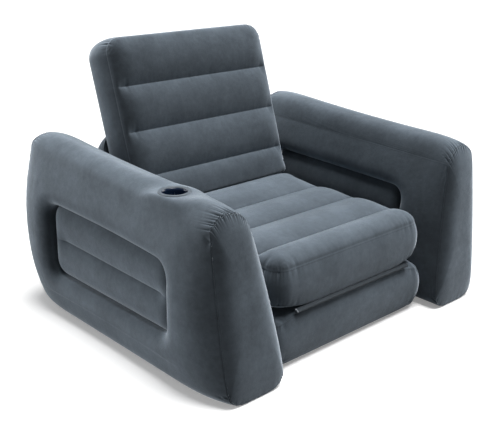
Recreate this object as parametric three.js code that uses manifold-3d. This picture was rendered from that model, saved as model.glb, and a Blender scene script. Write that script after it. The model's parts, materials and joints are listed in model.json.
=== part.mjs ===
// Inflatable chair bed: two arms, a base and a rear bolster form the air frame,
// and a seat and a backrest of cross channels unfold forward into a bed.
// Millimetres, +Z up, the front faces -Y and the floor is z = 0.

import * as THREE from 'three';
import { mergeVertices } from 'three/addons/utils/BufferGeometryUtils.js';
import Module from 'manifold-3d';

const wasm = await Module();
wasm.setup();

// Driving dimensions of the whole chair
const innerWidth = 660;
const armLength = 946;
const fitGap = 0.3;
const floorCut = 0.5;
const cutOverrun = 40;

// Arm: the seams of its cross-section, from the middle of the chair outwards
const arm = {
  sideBulge: 16,
  footSpread: 14,
  baseClearance: 16,
  footWidth: 242,
  topWidth: 141,
  footHeight: 26,
  shoulderHeight: 494,
  topFall: 20,
  crown: 47,
  innerBulge: 20,
  footDrawIn: 50,
  crownDrawIn: 10,
  rearRise: 66,
  innerRise: 38,
  footLead: 50,
  rearFullHeight: 270,
  rearFootCurl: 50,
  rearTopCurl: 56,
  capBulge: 24,
};
const armInnerFootX = innerWidth / 2 + arm.baseClearance;
const armOuterX = armInnerFootX + arm.footWidth - arm.footSpread;
const armInnerSeamX = armOuterX - arm.topWidth;
const armInnerSeamHeight = arm.shoulderHeight - arm.topFall;
const overallWidth = (armOuterX + arm.sideBulge) * 2;
const armPinchShare = 0.35;
const armPinchReachShare = 0.22;
const armStationShares = [0, 0.03, 0.09, 0.22, 0.5, 0.78, 0.91, 0.97, 1];
const armFaceSegments = 5;
const armCrownSegments = 7;
const capRingShares = [0.95, 0.82, 0.5];

// How squarely a face swells between its seams: 2 is a round arc, more is flatter
const roundFullness = 2;
const faceFullness = 2.5;
const crownFullness = 2.6;
const pinchFullness = 3;
const panelFullness = 4;
const edgeFullness = 8;

// Recess that runs through each arm and the channelled web that fills it
const recessFrontDrop = 130;
const recessRearDrop = 106;
const recess = {
  front: 156,
  rear: 772,
  bottom: 146,
  topFront: arm.shoulderHeight - recessFrontDrop,
  topRear: arm.shoulderHeight - recessRearDrop,
  cornerRadius: 48,
  lip: 26,
  lipReach: 40,
  depth: 46,
  crown: 28,
  cornerSteps: 3,
};
const recessEdgeShares = [0.33, 0.67];
const lipDegrees = [90, 60, 30, 0];
const webRingShares = [0.93, 0.78, 0.5, 0.22, 0];
const webHeightShares = [0.45, 0.86, 1, 0.75, 0.32];

// Fold lines of the bed
const foldHeight = 172;
const foldFront = 0;
const bedCrestHeight = foldHeight * 2;
const backFoldY = 622;
const backFoldHeight = 330;
const reclineDegrees = 73;

// Tension beams inside the cushions, which hold the channels down
const beam = { thickness: 1, sideClearance: 62 };

// Cushions: u runs along the length, w through the thickness
const frontSetback = 12;
const seatSideGap = 12;
const seatRearSetback = 18;
const backrestSideGap = 2;
const bolsterSideGap = 4;
const seat = {
  halfWidth: innerWidth / 2 - seatSideGap,
  sideBulge: 12,
  cornerRadius: 46,
  start: foldFront + frontSetback,
  end: backFoldY - seatRearSetback,
  seams: [125, 292, 459],
  topSeam: 304,
  topCrest: bedCrestHeight,
  topSegments: 6,
  bottomSeam: 179,
  bottomCrest: foldHeight + fitGap / 2,
  bandBulge: 11,
};
const backrest = {
  halfWidth: innerWidth / 2 - backrestSideGap,
  sideBulge: 14,
  cornerRadius: 46,
  start: 12,
  end: 564,
  seams: [109, 257, 405],
  topSeam: -20,
  topCrest: 14,
  topSegments: 6,
  bottomSeam: -130,
  bottomCrest: -146,
  bandBulge: 11,
};
const base = {
  halfWidth: innerWidth / 2,
  sideBulge: 22,
  cornerRadius: 30,
  start: foldFront + frontSetback,
  end: 930,
  seams: [165, 318, 471, 624, 777],
  topSeam: 165,
  topCrest: foldHeight - fitGap / 2,
  topSegments: 4,
  bottomSeam: 26,
  bottomCrest: -floorCut,
  bandBulge: 11,
};
const channelDipShare = 0.6;
const shallowDipShare = 0.5;
const bottomSegments = 2;
const bandSegments = 4;
const quarterDegrees = [0, 30, 60, 90];
const crownRunShare = 2.4;
const sideRingShares = [0.7, 0.35];

// Bolster behind the backrest, between the arms
const bolster = {
  halfWidth: innerWidth / 2 - bolsterSideGap,
  cornerRadius: 34,
  topHeight: 548,
  rearHeight: 452,
  rearY: 930,
  rearBulge: 14,
  slopeBulge: 12,
  footRise: 14,
  footSink: 1.25,
};
const bolsterDegrees = [80, 55, 25, 0];

// Hinge webs: thin welded strips whose leaves meet at each fold line
const hingeWeb = { sideClearance: 66, thickness: 1.2 };

// Cup holder in the top of the left arm
const cup = {
  outerInset: 56,
  y: 202,
  innerRadius: 36,
  wall: 2,
  depth: 72,
  ringWidth: 7,
  ringThickness: 2.4,
};

// Two-part air valve: flange, pull-out insert, flap and hinged cap
const valve = {
  flangeRadius: 31,
  flangeThickness: 1.6,
  neckRadius: 17,
  neckWall: 2,
  neckDepth: 14,
  sink: 7,
  insertWall: 1.6,
  insertDepth: 10,
  insertFloor: 2,
  rimWidth: 3.3,
  rimThickness: 1.5,
  hubRadius: 1.8,
  windowRadius: 1.9,
  windowCircle: 4.8,
  windowCount: 4,
  flapRadius: 7.6,
  flapThickness: 0.8,
  flapHead: 2.6,
  capThickness: 2,
  plugRadius: 14,
  plugWall: 1.6,
  plugDepth: 2.6,
  earReach: 5.4,
  earWidth: 11,
  tabReach: 5,
};
const frameValvePlace = { x: 446, height: 240, sink: 4 };
const bedValvePlace = { u: 330 };
const roundSegments = 24;

// Finishes
const flock = new THREE.MeshStandardMaterial({ color: 0x535d66, roughness: 0.9, metalness: 0 });
const smoothFilm = new THREE.MeshStandardMaterial({ color: 0x3d464e, roughness: 0.6, metalness: 0 });
const cupFilm = new THREE.MeshStandardMaterial({ color: 0x10192b, roughness: 0.25, metalness: 0 });
const ringFilm = new THREE.MeshStandardMaterial({ color: 0x6d7780, roughness: 0.5, metalness: 0 });
const valvePlastic = new THREE.MeshStandardMaterial({ color: 0x20252a, roughness: 0.4, metalness: 0 });
const beamFilm = new THREE.MeshStandardMaterial({ color: 0x8b939a, roughness: 0.5, metalness: 0 });
const flapRubber = new THREE.MeshStandardMaterial({ color: 0x15181b, roughness: 0.8, metalness: 0 });

// Solids

// How full a face stands at t from 0 to 1 along it: 0 at both seams, 1 in the middle
function bulge(t, fullness) {
  return 1 - Math.abs(2 * t - 1) ** fullness;
}

function signedVolume(positions, triangles) {
  const a = new THREE.Vector3();
  const b = new THREE.Vector3();
  const c = new THREE.Vector3();
  let total = 0;
  for (let i = 0; i < triangles.length; i += 3) {
    a.fromArray(positions, 3 * triangles[i]);
    b.fromArray(positions, 3 * triangles[i + 1]);
    c.fromArray(positions, 3 * triangles[i + 2]);
    total += a.dot(b.cross(c)) / 6;
  }
  return total;
}

// A closed geometry as a solid, its faces turned outwards
function solidOf(geometry) {
  const bare = geometry.clone();
  bare.deleteAttribute('normal');
  bare.deleteAttribute('uv');
  const merged = mergeVertices(bare);
  const positions = merged.attributes.position.array;
  const all = Array.from(merged.index.array);
  const kept = [];
  for (let i = 0; i < all.length; i += 3) {
    const [p, q, r] = all.slice(i, i + 3);
    if (p !== q && q !== r && r !== p) kept.push(p, q, r);
  }
  if (signedVolume(positions, kept) < 0) kept.reverse();
  return new wasm.Manifold(new wasm.Mesh({
    numProp: 3,
    vertProperties: new Float32Array(positions),
    triVerts: new Uint32Array(kept),
  }));
}

function meshOf(name, solid, material) {
  const { vertProperties, triVerts } = solid.getMesh();
  const geometry = new THREE.BufferGeometry();
  geometry.setAttribute('position', new THREE.BufferAttribute(new Float32Array(vertProperties), 3));
  geometry.setIndex(new THREE.BufferAttribute(new Uint32Array(triVerts), 1));
  geometry.computeVertexNormals();
  const mesh = new THREE.Mesh(geometry, material);
  mesh.name = name;
  return mesh;
}

// Rings of equal point counts joined into a closed skin, with a fan over each end
function loftSolid(rings, firstTip, lastTip) {
  const count = rings[0].length;
  const positions = [];
  const triangles = [];
  for (const ring of rings) {
    for (const point of ring) positions.push(...point);
  }
  for (let i = 0; i + 1 < rings.length; i += 1) {
    for (let j = 0; j < count; j += 1) {
      const k = (j + 1) % count;
      const [p, q] = [i * count + j, i * count + k];
      const [r, s] = [p + count, q + count];
      triangles.push(p, q, s, p, s, r);
    }
  }
  const ends = [[firstTip, 0, false], [lastTip, rings.length - 1, true]];
  for (const [tip, ringIndex, isLast] of ends) {
    if (!tip) continue;
    const centre = positions.length / 3;
    positions.push(...tip);
    for (let j = 0; j < count; j += 1) {
      const p = ringIndex * count + j;
      const q = ringIndex * count + ((j + 1) % count);
      triangles.push(...(isLast ? [p, q, centre] : [q, p, centre]));
    }
  }
  const geometry = new THREE.BufferGeometry();
  geometry.setAttribute('position', new THREE.Float32BufferAttribute(positions, 3));
  geometry.setIndex(triangles);
  return solidOf(geometry);
}

function boxSolid(low, high) {
  const size = high.map((value, axis) => value - low[axis]);
  const middle = high.map((value, axis) => (value + low[axis]) / 2);
  return solidOf(new THREE.BoxGeometry(...size).translate(...middle));
}

// A turned solid from a closed profile of [radius, height] points, its axis along +Z
function turnedSolid(profile) {
  const points = [...profile, profile[0]].map(([r, h]) => new THREE.Vector2(r, h));
  return solidOf(new THREE.LatheGeometry(points, roundSegments).rotateX(Math.PI / 2));
}

// A closed outline of straight chords between corners, each swelled outwards in its middle
function swelledOutline(corners, faces) {
  const points = [];
  corners.forEach((from, i) => {
    const to = corners[(i + 1) % corners.length];
    const { swell, fullness, segments } = faces[i];
    const chord = [to[0] - from[0], to[1] - from[1]];
    const length = Math.hypot(...chord);
    const outward = [chord[1] / length, -chord[0] / length];
    for (let j = 0; j < segments; j += 1) {
      const t = j / segments;
      const push = swell * bulge(t, fullness);
      points.push([
        from[0] + chord[0] * t + outward[0] * push,
        from[1] + chord[1] * t + outward[1] * push,
      ]);
    }
  });
  return points;
}

const belowFloor = boxSolid(
  [-overallWidth, -armLength, -overallWidth],
  [overallWidth, armLength * 2, 0],
);

// Arms

const armMiddle = [(armOuterX + armInnerFootX) / 2, (armInnerSeamHeight + arm.footHeight) / 2];

// Cross-section of the right arm in X and Z at a share of its length, from the outer foot
function armOutline(share, fill, grow) {
  const pinch = 1 - fill;
  const corners = [
    [armOuterX + arm.footSpread - arm.footDrawIn * pinch, arm.footHeight],
    [armOuterX, arm.shoulderHeight + arm.rearRise * share],
    [armInnerSeamX, armInnerSeamHeight + arm.innerRise * share],
    [armInnerFootX, arm.footHeight],
  ];
  const crown = arm.crown - arm.crownDrawIn * pinch;
  const faces = [
    { swell: arm.sideBulge * fill, fullness: faceFullness, segments: armFaceSegments },
    { swell: crown, fullness: crownFullness, segments: armCrownSegments },
    { swell: arm.innerBulge * fill, fullness: faceFullness, segments: armFaceSegments },
    { swell: arm.footHeight + floorCut, fullness: panelFullness, segments: armFaceSegments },
  ];
  const scale = 1 + grow / armMiddle[1];
  return swelledOutline(corners, faces).map(([x, z]) => [
    armMiddle[0] + (x - armMiddle[0]) * scale,
    armMiddle[1] + (z - armMiddle[1]) * scale,
  ]);
}

// The front seam leans: its foot stands further forward than its top
function armFrontY(z) {
  return -arm.footLead * (1 - z / armInnerSeamHeight);
}

// The rear seam curls forward towards the floor and towards the top
function armRearY(z) {
  const curl = z < arm.rearFullHeight ? arm.rearFootCurl : arm.rearTopCurl;
  return armLength - curl * (z / arm.rearFullHeight - 1) ** 2;
}

function armRing(share, grow = 0) {
  const near = Math.min(share, 1 - share) / armPinchReachShare;
  const filled = bulge(Math.min(near, 1) / 2, pinchFullness);
  const fill = armPinchShare + (1 - armPinchShare) * filled;
  return armOutline(share, fill, grow).map(([x, z]) => {
    const front = armFrontY(z);
    return [x, front + (armRearY(z) - front) * share, z];
  });
}

function ringCentre(ring) {
  const sum = ring.reduce((total, p) => total.map((value, axis) => value + p[axis]), [0, 0, 0]);
  return sum.map((value) => value / ring.length);
}

// Middle of an end ring, on the surface that its seam spans
function armEndCentre(ring, atRear) {
  const [x, , z] = ringCentre(ring);
  return [x, atRear ? armRearY(z) : armFrontY(z), z];
}

function armBody(grow = 0) {
  const rings = armStationShares.map((share) => armRing(share, grow));
  const last = rings[rings.length - 1];
  return loftSolid(rings, armEndCentre(rings[0], false), armEndCentre(last, true));
}

// Domed panel over one end of the arm, its back flat on the seam plane
function armCap(atRear) {
  const edge = armRing(atRear ? 1 : 0);
  const middle = armEndCentre(edge, atRear);
  const way = atRear ? 1 : -1;
  const shrink = (share) => edge.map((point) => point.map((value, axis) => {
    const drawn = middle[axis] + (value - middle[axis]) * share;
    const swell = arm.capBulge * (1 - share ** panelFullness);
    return axis === 1 ? drawn + way * (fitGap + swell) : drawn;
  }));
  const rings = [1, ...capRingShares].map(shrink);
  const back = middle.map((value, axis) => (axis === 1 ? value + way * fitGap : value));
  const front = middle.map((value, axis) => (
    axis === 1 ? value + way * (fitGap + arm.capBulge) : value
  ));
  return loftSolid(rings, back, front).subtract(belowFloor);
}

// Recess outline in Y and Z, drawn in by an inset; its top rises to the rear with the arm
function recessTop(y) {
  const share = (y - recess.front) / (recess.rear - recess.front);
  return recess.topFront + (recess.topRear - recess.topFront) * share;
}

function recessOutline(inset) {
  const radius = recess.cornerRadius - Math.min(inset, recess.cornerRadius / 2);
  const [low, high] = [recess.front + inset, recess.rear - inset];
  const corners = [
    [high - radius, 1, 0], [low + radius, 1, 90], [low + radius, 0, 180], [high - radius, 0, 270],
  ];
  const points = [];
  corners.forEach(([y, isTop, startDegrees], i) => {
    for (let step = 0; step <= recess.cornerSteps; step += 1) {
      const angle = THREE.MathUtils.degToRad(startDegrees + (90 * step) / recess.cornerSteps);
      const z = isTop ? recessTop(y) - inset - radius : recess.bottom + inset + radius;
      points.push([y + radius * Math.cos(angle), z + radius * Math.sin(angle)]);
    }
    const next = corners[(i + 1) % corners.length];
    if (next[1] === isTop) {
      for (const share of recessEdgeShares) {
        const along = y + (next[0] - y) * share;
        points.push([along, isTop ? recessTop(along) - inset : recess.bottom + inset]);
      }
    }
  });
  return points;
}

// X of the arm's two faces at a height, at their fullest
function outerFaceX(z) {
  const share = (z - arm.footHeight) / (arm.shoulderHeight - arm.footHeight);
  const swell = arm.sideBulge * bulge(share, faceFullness);
  return armOuterX + arm.footSpread * (1 - share) + swell;
}

function innerFaceX(z) {
  const share = (z - arm.footHeight) / (armInnerSeamHeight - arm.footHeight);
  const chord = armInnerFootX + (armInnerSeamX - armInnerFootX) * share;
  return chord - arm.innerBulge * bulge(share, faceFullness);
}

// Cutter for the hole through the arm, flared at both faces so that the rim is round
function recessCutter() {
  const rings = [];
  const steps = lipDegrees.map((degrees) => THREE.MathUtils.degToRad(degrees));
  const lipRing = (angle, overrun, isOuter) => {
    const inset = -recess.lipReach * (1 - Math.cos(angle));
    const depth = recess.lip * (1 - Math.sin(angle)) - overrun;
    return recessOutline(inset).map(([y, z]) => [
      isOuter ? outerFaceX(z) - depth : innerFaceX(z) + depth, y, z,
    ]);
  };
  rings.push(lipRing(steps[0], cutOverrun, false));
  for (const angle of steps) rings.push(lipRing(angle, 0, false));
  for (const angle of [...steps].reverse()) rings.push(lipRing(angle, 0, true));
  rings.push(lipRing(steps[0], cutOverrun, true));
  return loftSolid(rings, ringCentre(rings[0]), ringCentre(rings[rings.length - 1]));
}

// Web of two lengthwise channels that fills the recess between its two dished faces
function armWeb() {
  const outline = recessOutline(fitGap);
  const middleZ = (y) => (recessTop(y) + recess.bottom) / 2;
  const half = (recess.topFront - recess.bottom) / 2;
  const face = (share, height, isOuter) => outline.map(([y, z]) => {
    const alongMiddle = (recess.front + recess.rear) / 2;
    const reach = (recess.rear - recess.front) / 2;
    const drawnY = alongMiddle + (y - alongMiddle) * (1 - (1 - share) * half / reach);
    const drawnZ = middleZ(drawnY) + (z - middleZ(y)) * share;
    const depth = recess.depth - recess.crown * height;
    const x = isOuter ? outerFaceX(drawnZ) - depth : innerFaceX(drawnZ) + depth;
    return [x, drawnY, drawnZ];
  });
  const shares = webRingShares.map((share, i) => [share, webHeightShares[i]]);
  const rings = [
    ...[...shares].reverse().map(([share, height]) => face(share, height, false)),
    face(1, 0, false),
    face(1, 0, true),
    ...shares.map(([share, height]) => face(share, height, true)),
  ];
  return loftSolid(rings);
}

// Cushions

// Section of a channelled cushion: u along it, w through it, going round from the near top seam.
// inset draws in the two ends and lift is the share of the full crown that stands here.
function cushionSection(cushion, inset, lift) {
  const [start, end] = [cushion.start + inset, cushion.end - inset];
  const stops = [start, ...cushion.seams, end];
  const panel = (segments, seam, crest, dipShare) => {
    const points = [];
    for (let k = 0; k + 1 < stops.length; k += 1) {
      for (let j = 0; j < segments; j += 1) {
        const t = j / segments;
        const u = stops[k] + (stops[k + 1] - stops[k]) * t;
        const edge = bulge((u - start) / (end - start), edgeFullness);
        const dip = dipShare * (1 - bulge(t, roundFullness));
        points.push([u, seam + (crest - seam) * lift * edge * (1 - dip)]);
      }
    }
    points.push([end, seam]);
    return points;
  };
  const band = (from, to, way, edge) => {
    const points = [];
    for (let j = 1; j < bandSegments; j += 1) {
      const t = j / bandSegments;
      const swell = cushion.bandBulge * bulge(t, roundFullness);
      points.push([edge + way * swell, from + (to - from) * t]);
    }
    return points;
  };
  const { topSeam, topCrest, topSegments, bottomSeam, bottomCrest } = cushion;
  return [
    ...panel(topSegments, topSeam, topCrest, channelDipShare),
    ...band(topSeam, bottomSeam, 1, end),
    ...panel(bottomSegments, bottomSeam, bottomCrest, shallowDipShare).reverse(),
    ...band(bottomSeam, topSeam, -1, start),
  ];
}

function cushionSolid(cushion) {
  const { halfWidth, cornerRadius, sideBulge } = cushion;
  const middle = [
    (cushion.start + cushion.end) / 2,
    (cushion.topSeam + cushion.bottomSeam) / 2,
  ];
  const halfBand = (cushion.topSeam - cushion.bottomSeam) / 2;
  const halfLength = (cushion.end - cushion.start) / 2 - cornerRadius;
  const side = [];
  for (const degrees of quarterDegrees) {
    const angle = THREE.MathUtils.degToRad(degrees);
    side.push({
      x: halfWidth - cornerRadius * (1 - Math.sin(angle)),
      inset: cornerRadius * (1 - Math.cos(angle)),
    });
  }
  side.unshift({ x: halfWidth - cornerRadius * crownRunShare, inset: 0 });
  const ringAt = (x, inset) => {
    const lift = bulge((x + halfWidth) / (2 * halfWidth), edgeFullness);
    return cushionSection(cushion, inset, lift).map(([u, w]) => [x, u, w]);
  };
  const capRing = (share, way) => (
    cushionSection(cushion, cornerRadius, 0).map(([u, w]) => [
      way * (halfWidth + sideBulge * (1 - share ** roundFullness)),
      middle[0] + (u - middle[0]) * (1 - (1 - share) * halfBand / halfLength),
      middle[1] + (w - middle[1]) * share,
    ])
  );
  const rings = [
    ...[...sideRingShares].reverse().map((share) => capRing(share, -1)),
    ...[...side].reverse().map(({ x, inset }) => ringAt(-x, inset)),
    ringAt(0, 0),
    ...side.map(({ x, inset }) => ringAt(x, inset)),
    ...sideRingShares.map((share) => capRing(share, 1)),
  ];
  const tip = halfWidth + sideBulge;
  return loftSolid(rings, [-tip, ...middle], [tip, ...middle]);
}

// The beams under a cushion's channel seams: each stands in a slot of its own
function cutBeams(cushion, solid) {
  const reach = cushion.halfWidth - beam.sideClearance;
  const low = cushion.bottomSeam - cutOverrun;
  const high = cushion.topSeam + cutOverrun * 2;
  let slotted = solid;
  const beams = cushion.seams.map((u) => {
    const half = beam.thickness / 2;
    const sheet = boxSolid([-reach, u - half, low], [reach, u + half, high]);
    const wide = half + fitGap;
    const slot = boxSolid([-reach - fitGap, u - wide, low], [reach + fitGap, u + wide, high]);
    slotted = slotted.subtract(slot);
    return solid.intersect(sheet);
  });
  return { slotted, beams };
}

// A strip along X whose section is a list of [y, z] points
function stripSolid(section, halfLength) {
  const ends = [-halfLength, halfLength];
  const rings = ends.map((x) => section.map(([y, z]) => [x, y, z]));
  return loftSolid(rings, ringCentre(rings[0]), ringCentre(rings[1]));
}

// One leaf of a hinge web, from near a seam to near the fold line
function webLeaf(seam, fold) {
  const along = [fold[0] - seam[0], fold[1] - seam[1]];
  const length = Math.hypot(...along);
  const [ay, az] = along.map((value) => value / length);
  const half = hingeWeb.thickness / 2;
  const from = fitGap * 2;
  const to = length - hingeWeb.thickness;
  const corner = (distance, offset) => [
    seam[0] + ay * distance - az * offset,
    seam[1] + az * distance + ay * offset,
  ];
  const section = [corner(from, -half), corner(to, -half), corner(to, half), corner(from, half)];
  return stripSolid(section, seat.halfWidth - hingeWeb.sideClearance);
}

// Bolster: its front lies along the backrest's rear and its top slopes down to the rear
function bolsterSolid() {
  const lean = THREE.MathUtils.degToRad(reclineDegrees);
  const rearPlane = backrest.bottomCrest - fitGap;
  const frontY = (z) => {
    const along = (z - backFoldHeight - rearPlane * Math.cos(lean)) / Math.sin(lean);
    return backFoldY + along * Math.cos(lean) - rearPlane * Math.sin(lean);
  };
  const footHeight = foldHeight + bolster.footRise;
  const corners = [
    [frontY(footHeight), footHeight],
    [bolster.rearY, footHeight],
    [bolster.rearY, bolster.rearHeight],
    [frontY(bolster.topHeight), bolster.topHeight],
  ];
  const faces = [
    { swell: bolster.footRise + bolster.footSink, fullness: panelFullness, segments: 4 },
    { swell: bolster.rearBulge, fullness: faceFullness, segments: 5 },
    { swell: bolster.slopeBulge, fullness: roundFullness, segments: 4 },
    { swell: 0, fullness: roundFullness, segments: 3 },
  ];
  const outline = swelledOutline(corners, faces);
  const centre = [0, 1].map((axis) => (
    corners.reduce((sum, corner) => sum + corner[axis], 0) / corners.length
  ));
  const reach = (bolster.rearY - corners[0][0]) / 2;
  const ring = (degrees, way) => {
    const angle = THREE.MathUtils.degToRad(degrees);
    const shrink = 1 - bolster.cornerRadius * (1 - Math.cos(angle)) / reach;
    const x = way * (bolster.halfWidth - bolster.cornerRadius * (1 - Math.sin(angle)));
    return outline.map(([y, z]) => [
      x,
      centre[0] + (y - centre[0]) * shrink,
      centre[1] + (z - centre[1]) * shrink,
    ]);
  };
  const rings = [
    ...bolsterDegrees.map((degrees) => ring(degrees, -1)),
    ...[...bolsterDegrees].reverse().map((degrees) => ring(degrees, 1)),
  ];
  return loftSolid(rings, [-bolster.halfWidth, ...centre], [bolster.halfWidth, ...centre]);
}

// Cup holder

const cupX = cup.outerInset - armOuterX;
const cupOuterRadius = cup.innerRadius + cup.wall;
const armTopHeight = arm.shoulderHeight + arm.crown;
const cupFloor = armTopHeight - cup.depth;

function cylinderSolid(radius, low, high, x, y) {
  const solid = turnedSolid([[0, low], [radius, low], [radius, high], [0, high]]);
  return solid.translate([x, y, 0]);
}

function cupParts(leftArm, ringOuter, ringInner) {
  const high = armTopHeight + cutOverrun;
  const wellFloor = cupFloor - cup.wall - fitGap;
  const well = cylinderSolid(cupOuterRadius + fitGap, wellFloor, high, cupX, cup.y);
  const blank = cylinderSolid(cupOuterRadius, cupFloor - cup.wall, high, cupX, cup.y);
  const hollow = cylinderSolid(cup.innerRadius, cupFloor, high, cupX, cup.y);
  const ringBlank = cylinderSolid(cupOuterRadius + cup.ringWidth, cupFloor, high, cupX, cup.y);
  return {
    well,
    bowl: leftArm.intersect(blank).subtract(hollow),
    ring: ringOuter.subtract(ringInner).intersect(ringBlank.subtract(hollow)),
  };
}

// Valves: made about +Z, with the flange's underside at height zero

const insertRadius = valve.neckRadius - fitGap;
const insertBoreRadius = insertRadius - valve.insertWall;
const rimLow = valve.flangeThickness + fitGap;
const rimHigh = rimLow + valve.rimThickness;
const capLow = rimHigh + fitGap;
const capRadius = insertRadius + valve.rimWidth;
const valveHingeRadius = capRadius + valve.earReach;
const valveHingeHeight = (rimHigh + capLow) / 2;

function valveFlange() {
  return turnedSolid([
    [valve.neckRadius, -valve.neckDepth],
    [valve.neckRadius + valve.neckWall, -valve.neckDepth],
    [valve.neckRadius + valve.neckWall, 0],
    [valve.flangeRadius, 0],
    [valve.flangeRadius - valve.flangeThickness / 2, valve.flangeThickness],
    [valve.neckRadius, valve.flangeThickness],
  ]);
}

function valveInsert() {
  const floorLow = -valve.insertDepth;
  const floorHigh = floorLow + valve.insertFloor;
  let solid = turnedSolid([
    [valve.hubRadius, floorLow],
    [insertRadius, floorLow],
    [insertRadius, rimLow],
    [capRadius, rimLow],
    [capRadius, rimHigh],
    [insertBoreRadius, rimHigh],
    [insertBoreRadius, floorHigh],
    [valve.hubRadius, floorHigh],
  ]);
  for (let i = 0; i < valve.windowCount; i += 1) {
    const angle = (2 * Math.PI * (i + 0.5)) / valve.windowCount;
    const [x, y] = [Math.cos(angle), Math.sin(angle)].map((part) => part * valve.windowCircle);
    const high = floorHigh + valve.insertFloor;
    const window = cylinderSolid(valve.windowRadius, floorLow - valve.insertFloor, high, x, y);
    solid = solid.subtract(window);
  }
  const ear = boxSolid(
    [-valve.earWidth / 2, capRadius - valve.rimWidth, rimLow],
    [valve.earWidth / 2, valveHingeRadius - fitGap, rimHigh],
  );
  return solid.add(ear);
}

function valveFlap() {
  const floorLow = -valve.insertDepth;
  const floorHigh = floorLow + valve.insertFloor;
  const stemRadius = valve.hubRadius - fitGap;
  const discHigh = floorLow - fitGap;
  const headLow = floorHigh + fitGap;
  return turnedSolid([
    [0, discHigh - valve.flapThickness],
    [valve.flapRadius, discHigh - valve.flapThickness],
    [valve.flapRadius, discHigh],
    [stemRadius, discHigh],
    [stemRadius, headLow],
    [valve.flapHead, headLow],
    [stemRadius, headLow + valve.flapThickness],
    [0, headLow + valve.flapThickness],
  ]);
}

function valveCap() {
  const capHigh = capLow + valve.capThickness;
  const disc = turnedSolid([
    [0, capLow],
    [valve.plugRadius - valve.plugWall, capLow],
    [valve.plugRadius - valve.plugWall, capLow - valve.plugDepth],
    [valve.plugRadius, capLow - valve.plugDepth],
    [valve.plugRadius, capLow],
    [capRadius, capLow],
    [capRadius, capHigh - valve.capThickness / 2],
    [capRadius - valve.capThickness / 2, capHigh],
    [0, capHigh],
  ]);
  const ear = boxSolid(
    [-valve.earWidth / 2, capRadius - valve.rimWidth, capLow],
    [valve.earWidth / 2, valveHingeRadius - fitGap, capHigh - valve.capThickness / 2],
  );
  const tab = boxSolid(
    [-valve.earWidth / 2, -capRadius - valve.tabReach, capLow],
    [valve.earWidth / 2, -capRadius + valve.rimWidth, capHigh - valve.capThickness / 2],
  );
  return disc.add(ear).add(tab);
}

// The hole that a valve needs: a flat seat for the flange and a pocket for the neck
function valvePocket() {
  const seatCut = cylinderSolid(valve.flangeRadius + fitGap, -fitGap, cutOverrun, 0, 0);
  const depth = valve.neckDepth + valve.flapThickness + fitGap;
  const pocket = cylinderSolid(valve.neckRadius + valve.neckWall + fitGap, -depth, 0, 0, 0);
  return seatCut.add(pocket);
}

function valveGroup(prefix) {
  const group = new THREE.Group();
  group.add(
    meshOf(`${prefix}_valve_flange`, valveFlange(), valvePlastic),
    meshOf(`${prefix}_valve_insert`, valveInsert(), valvePlastic),
    meshOf(`${prefix}_valve_flap`, valveFlap(), flapRubber),
    meshOf(`${prefix}_valve_cap`, valveCap(), valvePlastic),
  );
  return group;
}

// The solid moved to where a placed group puts it
function placedSolid(solid, group) {
  group.updateMatrix();
  return solid.transform(group.matrix.elements);
}

// Assembly

const chair = new THREE.Group();

const rightBody = armBody();
const leftMirror = [-1, 1, 1];
const recessCut = recessCutter();
const rightRim = rightBody.subtract(belowFloor).subtract(recessCut);
const leftBody = rightBody.scale(leftMirror);

const cupSolids = cupParts(
  leftBody,
  armBody(fitGap + cup.ringThickness).scale(leftMirror),
  armBody(fitGap).scale(leftMirror),
);
const leftRim = rightRim.scale(leftMirror).subtract(cupSolids.well);

const frameValve = valveGroup('frame');
const rearCap = armCap(true);
frameValve.rotation.set(-Math.PI / 2, 0, Math.PI);
frameValve.position.set(
  frameValvePlace.x,
  armRearY(frameValvePlace.height) + arm.capBulge - frameValvePlace.sink,
  frameValvePlace.height,
);
const rightRearCap = rearCap.subtract(placedSolid(valvePocket(), frameValve));

const wholeWeb = armWeb();
const webMiddle = (recess.topFront + recess.bottom) / 2;
const webRise = (recess.topRear - recess.topFront) / 2;

// The web's own beam lies level along its middle seam
function webBeamBox(clearance) {
  const half = beam.thickness / 2 + clearance;
  const inset = beam.sideClearance - clearance;
  const [near, far] = [recess.front + inset, recess.rear - inset];
  const share = (y) => (y - recess.front) / (recess.rear - recess.front);
  const rings = [near, far].map((y) => {
    const z = webMiddle + webRise * share(y);
    return [
      [armInnerFootX, y, z - half],
      [armOuterX, y, z - half],
      [armOuterX, y, z + half],
      [armInnerFootX, y, z + half],
    ];
  });
  return loftSolid(rings, ringCentre(rings[0]), ringCentre(rings[1]));
}

const rightWeb = wholeWeb.subtract(webBeamBox(fitGap));
const rightWebBeam = wholeWeb.intersect(webBeamBox(0));

const sides = [
  { name: 'right', turn: (solid) => solid, rim: rightRim, rear: rightRearCap },
  { name: 'left', turn: (solid) => solid.scale(leftMirror), rim: leftRim, rear: null },
];
for (const { name, turn, rim, rear } of sides) {
  chair.add(
    meshOf(`${name}_arm_rim`, rim, flock),
    meshOf(`${name}_arm_web`, turn(rightWeb), flock),
    meshOf(`${name}_arm_web_beam`, turn(rightWebBeam), beamFilm),
    meshOf(`${name}_arm_front_cap`, turn(armCap(false)), flock),
    meshOf(`${name}_arm_rear_cap`, rear ?? turn(rearCap), flock),
  );
}
chair.add(
  meshOf('cup_holder_bowl', cupSolids.bowl, cupFilm),
  meshOf('cup_holder_ring', cupSolids.ring, ringFilm),
  frameValve,
);

function addCushion(name, cushion, solid, group) {
  const { slotted, beams } = cutBeams(cushion, solid);
  group.add(meshOf(`${name}_cushion`, slotted, flock));
  beams.forEach((sheet, i) => {
    group.add(meshOf(`${name}_beam_${i + 1}`, sheet, beamFilm));
  });
}

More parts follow.
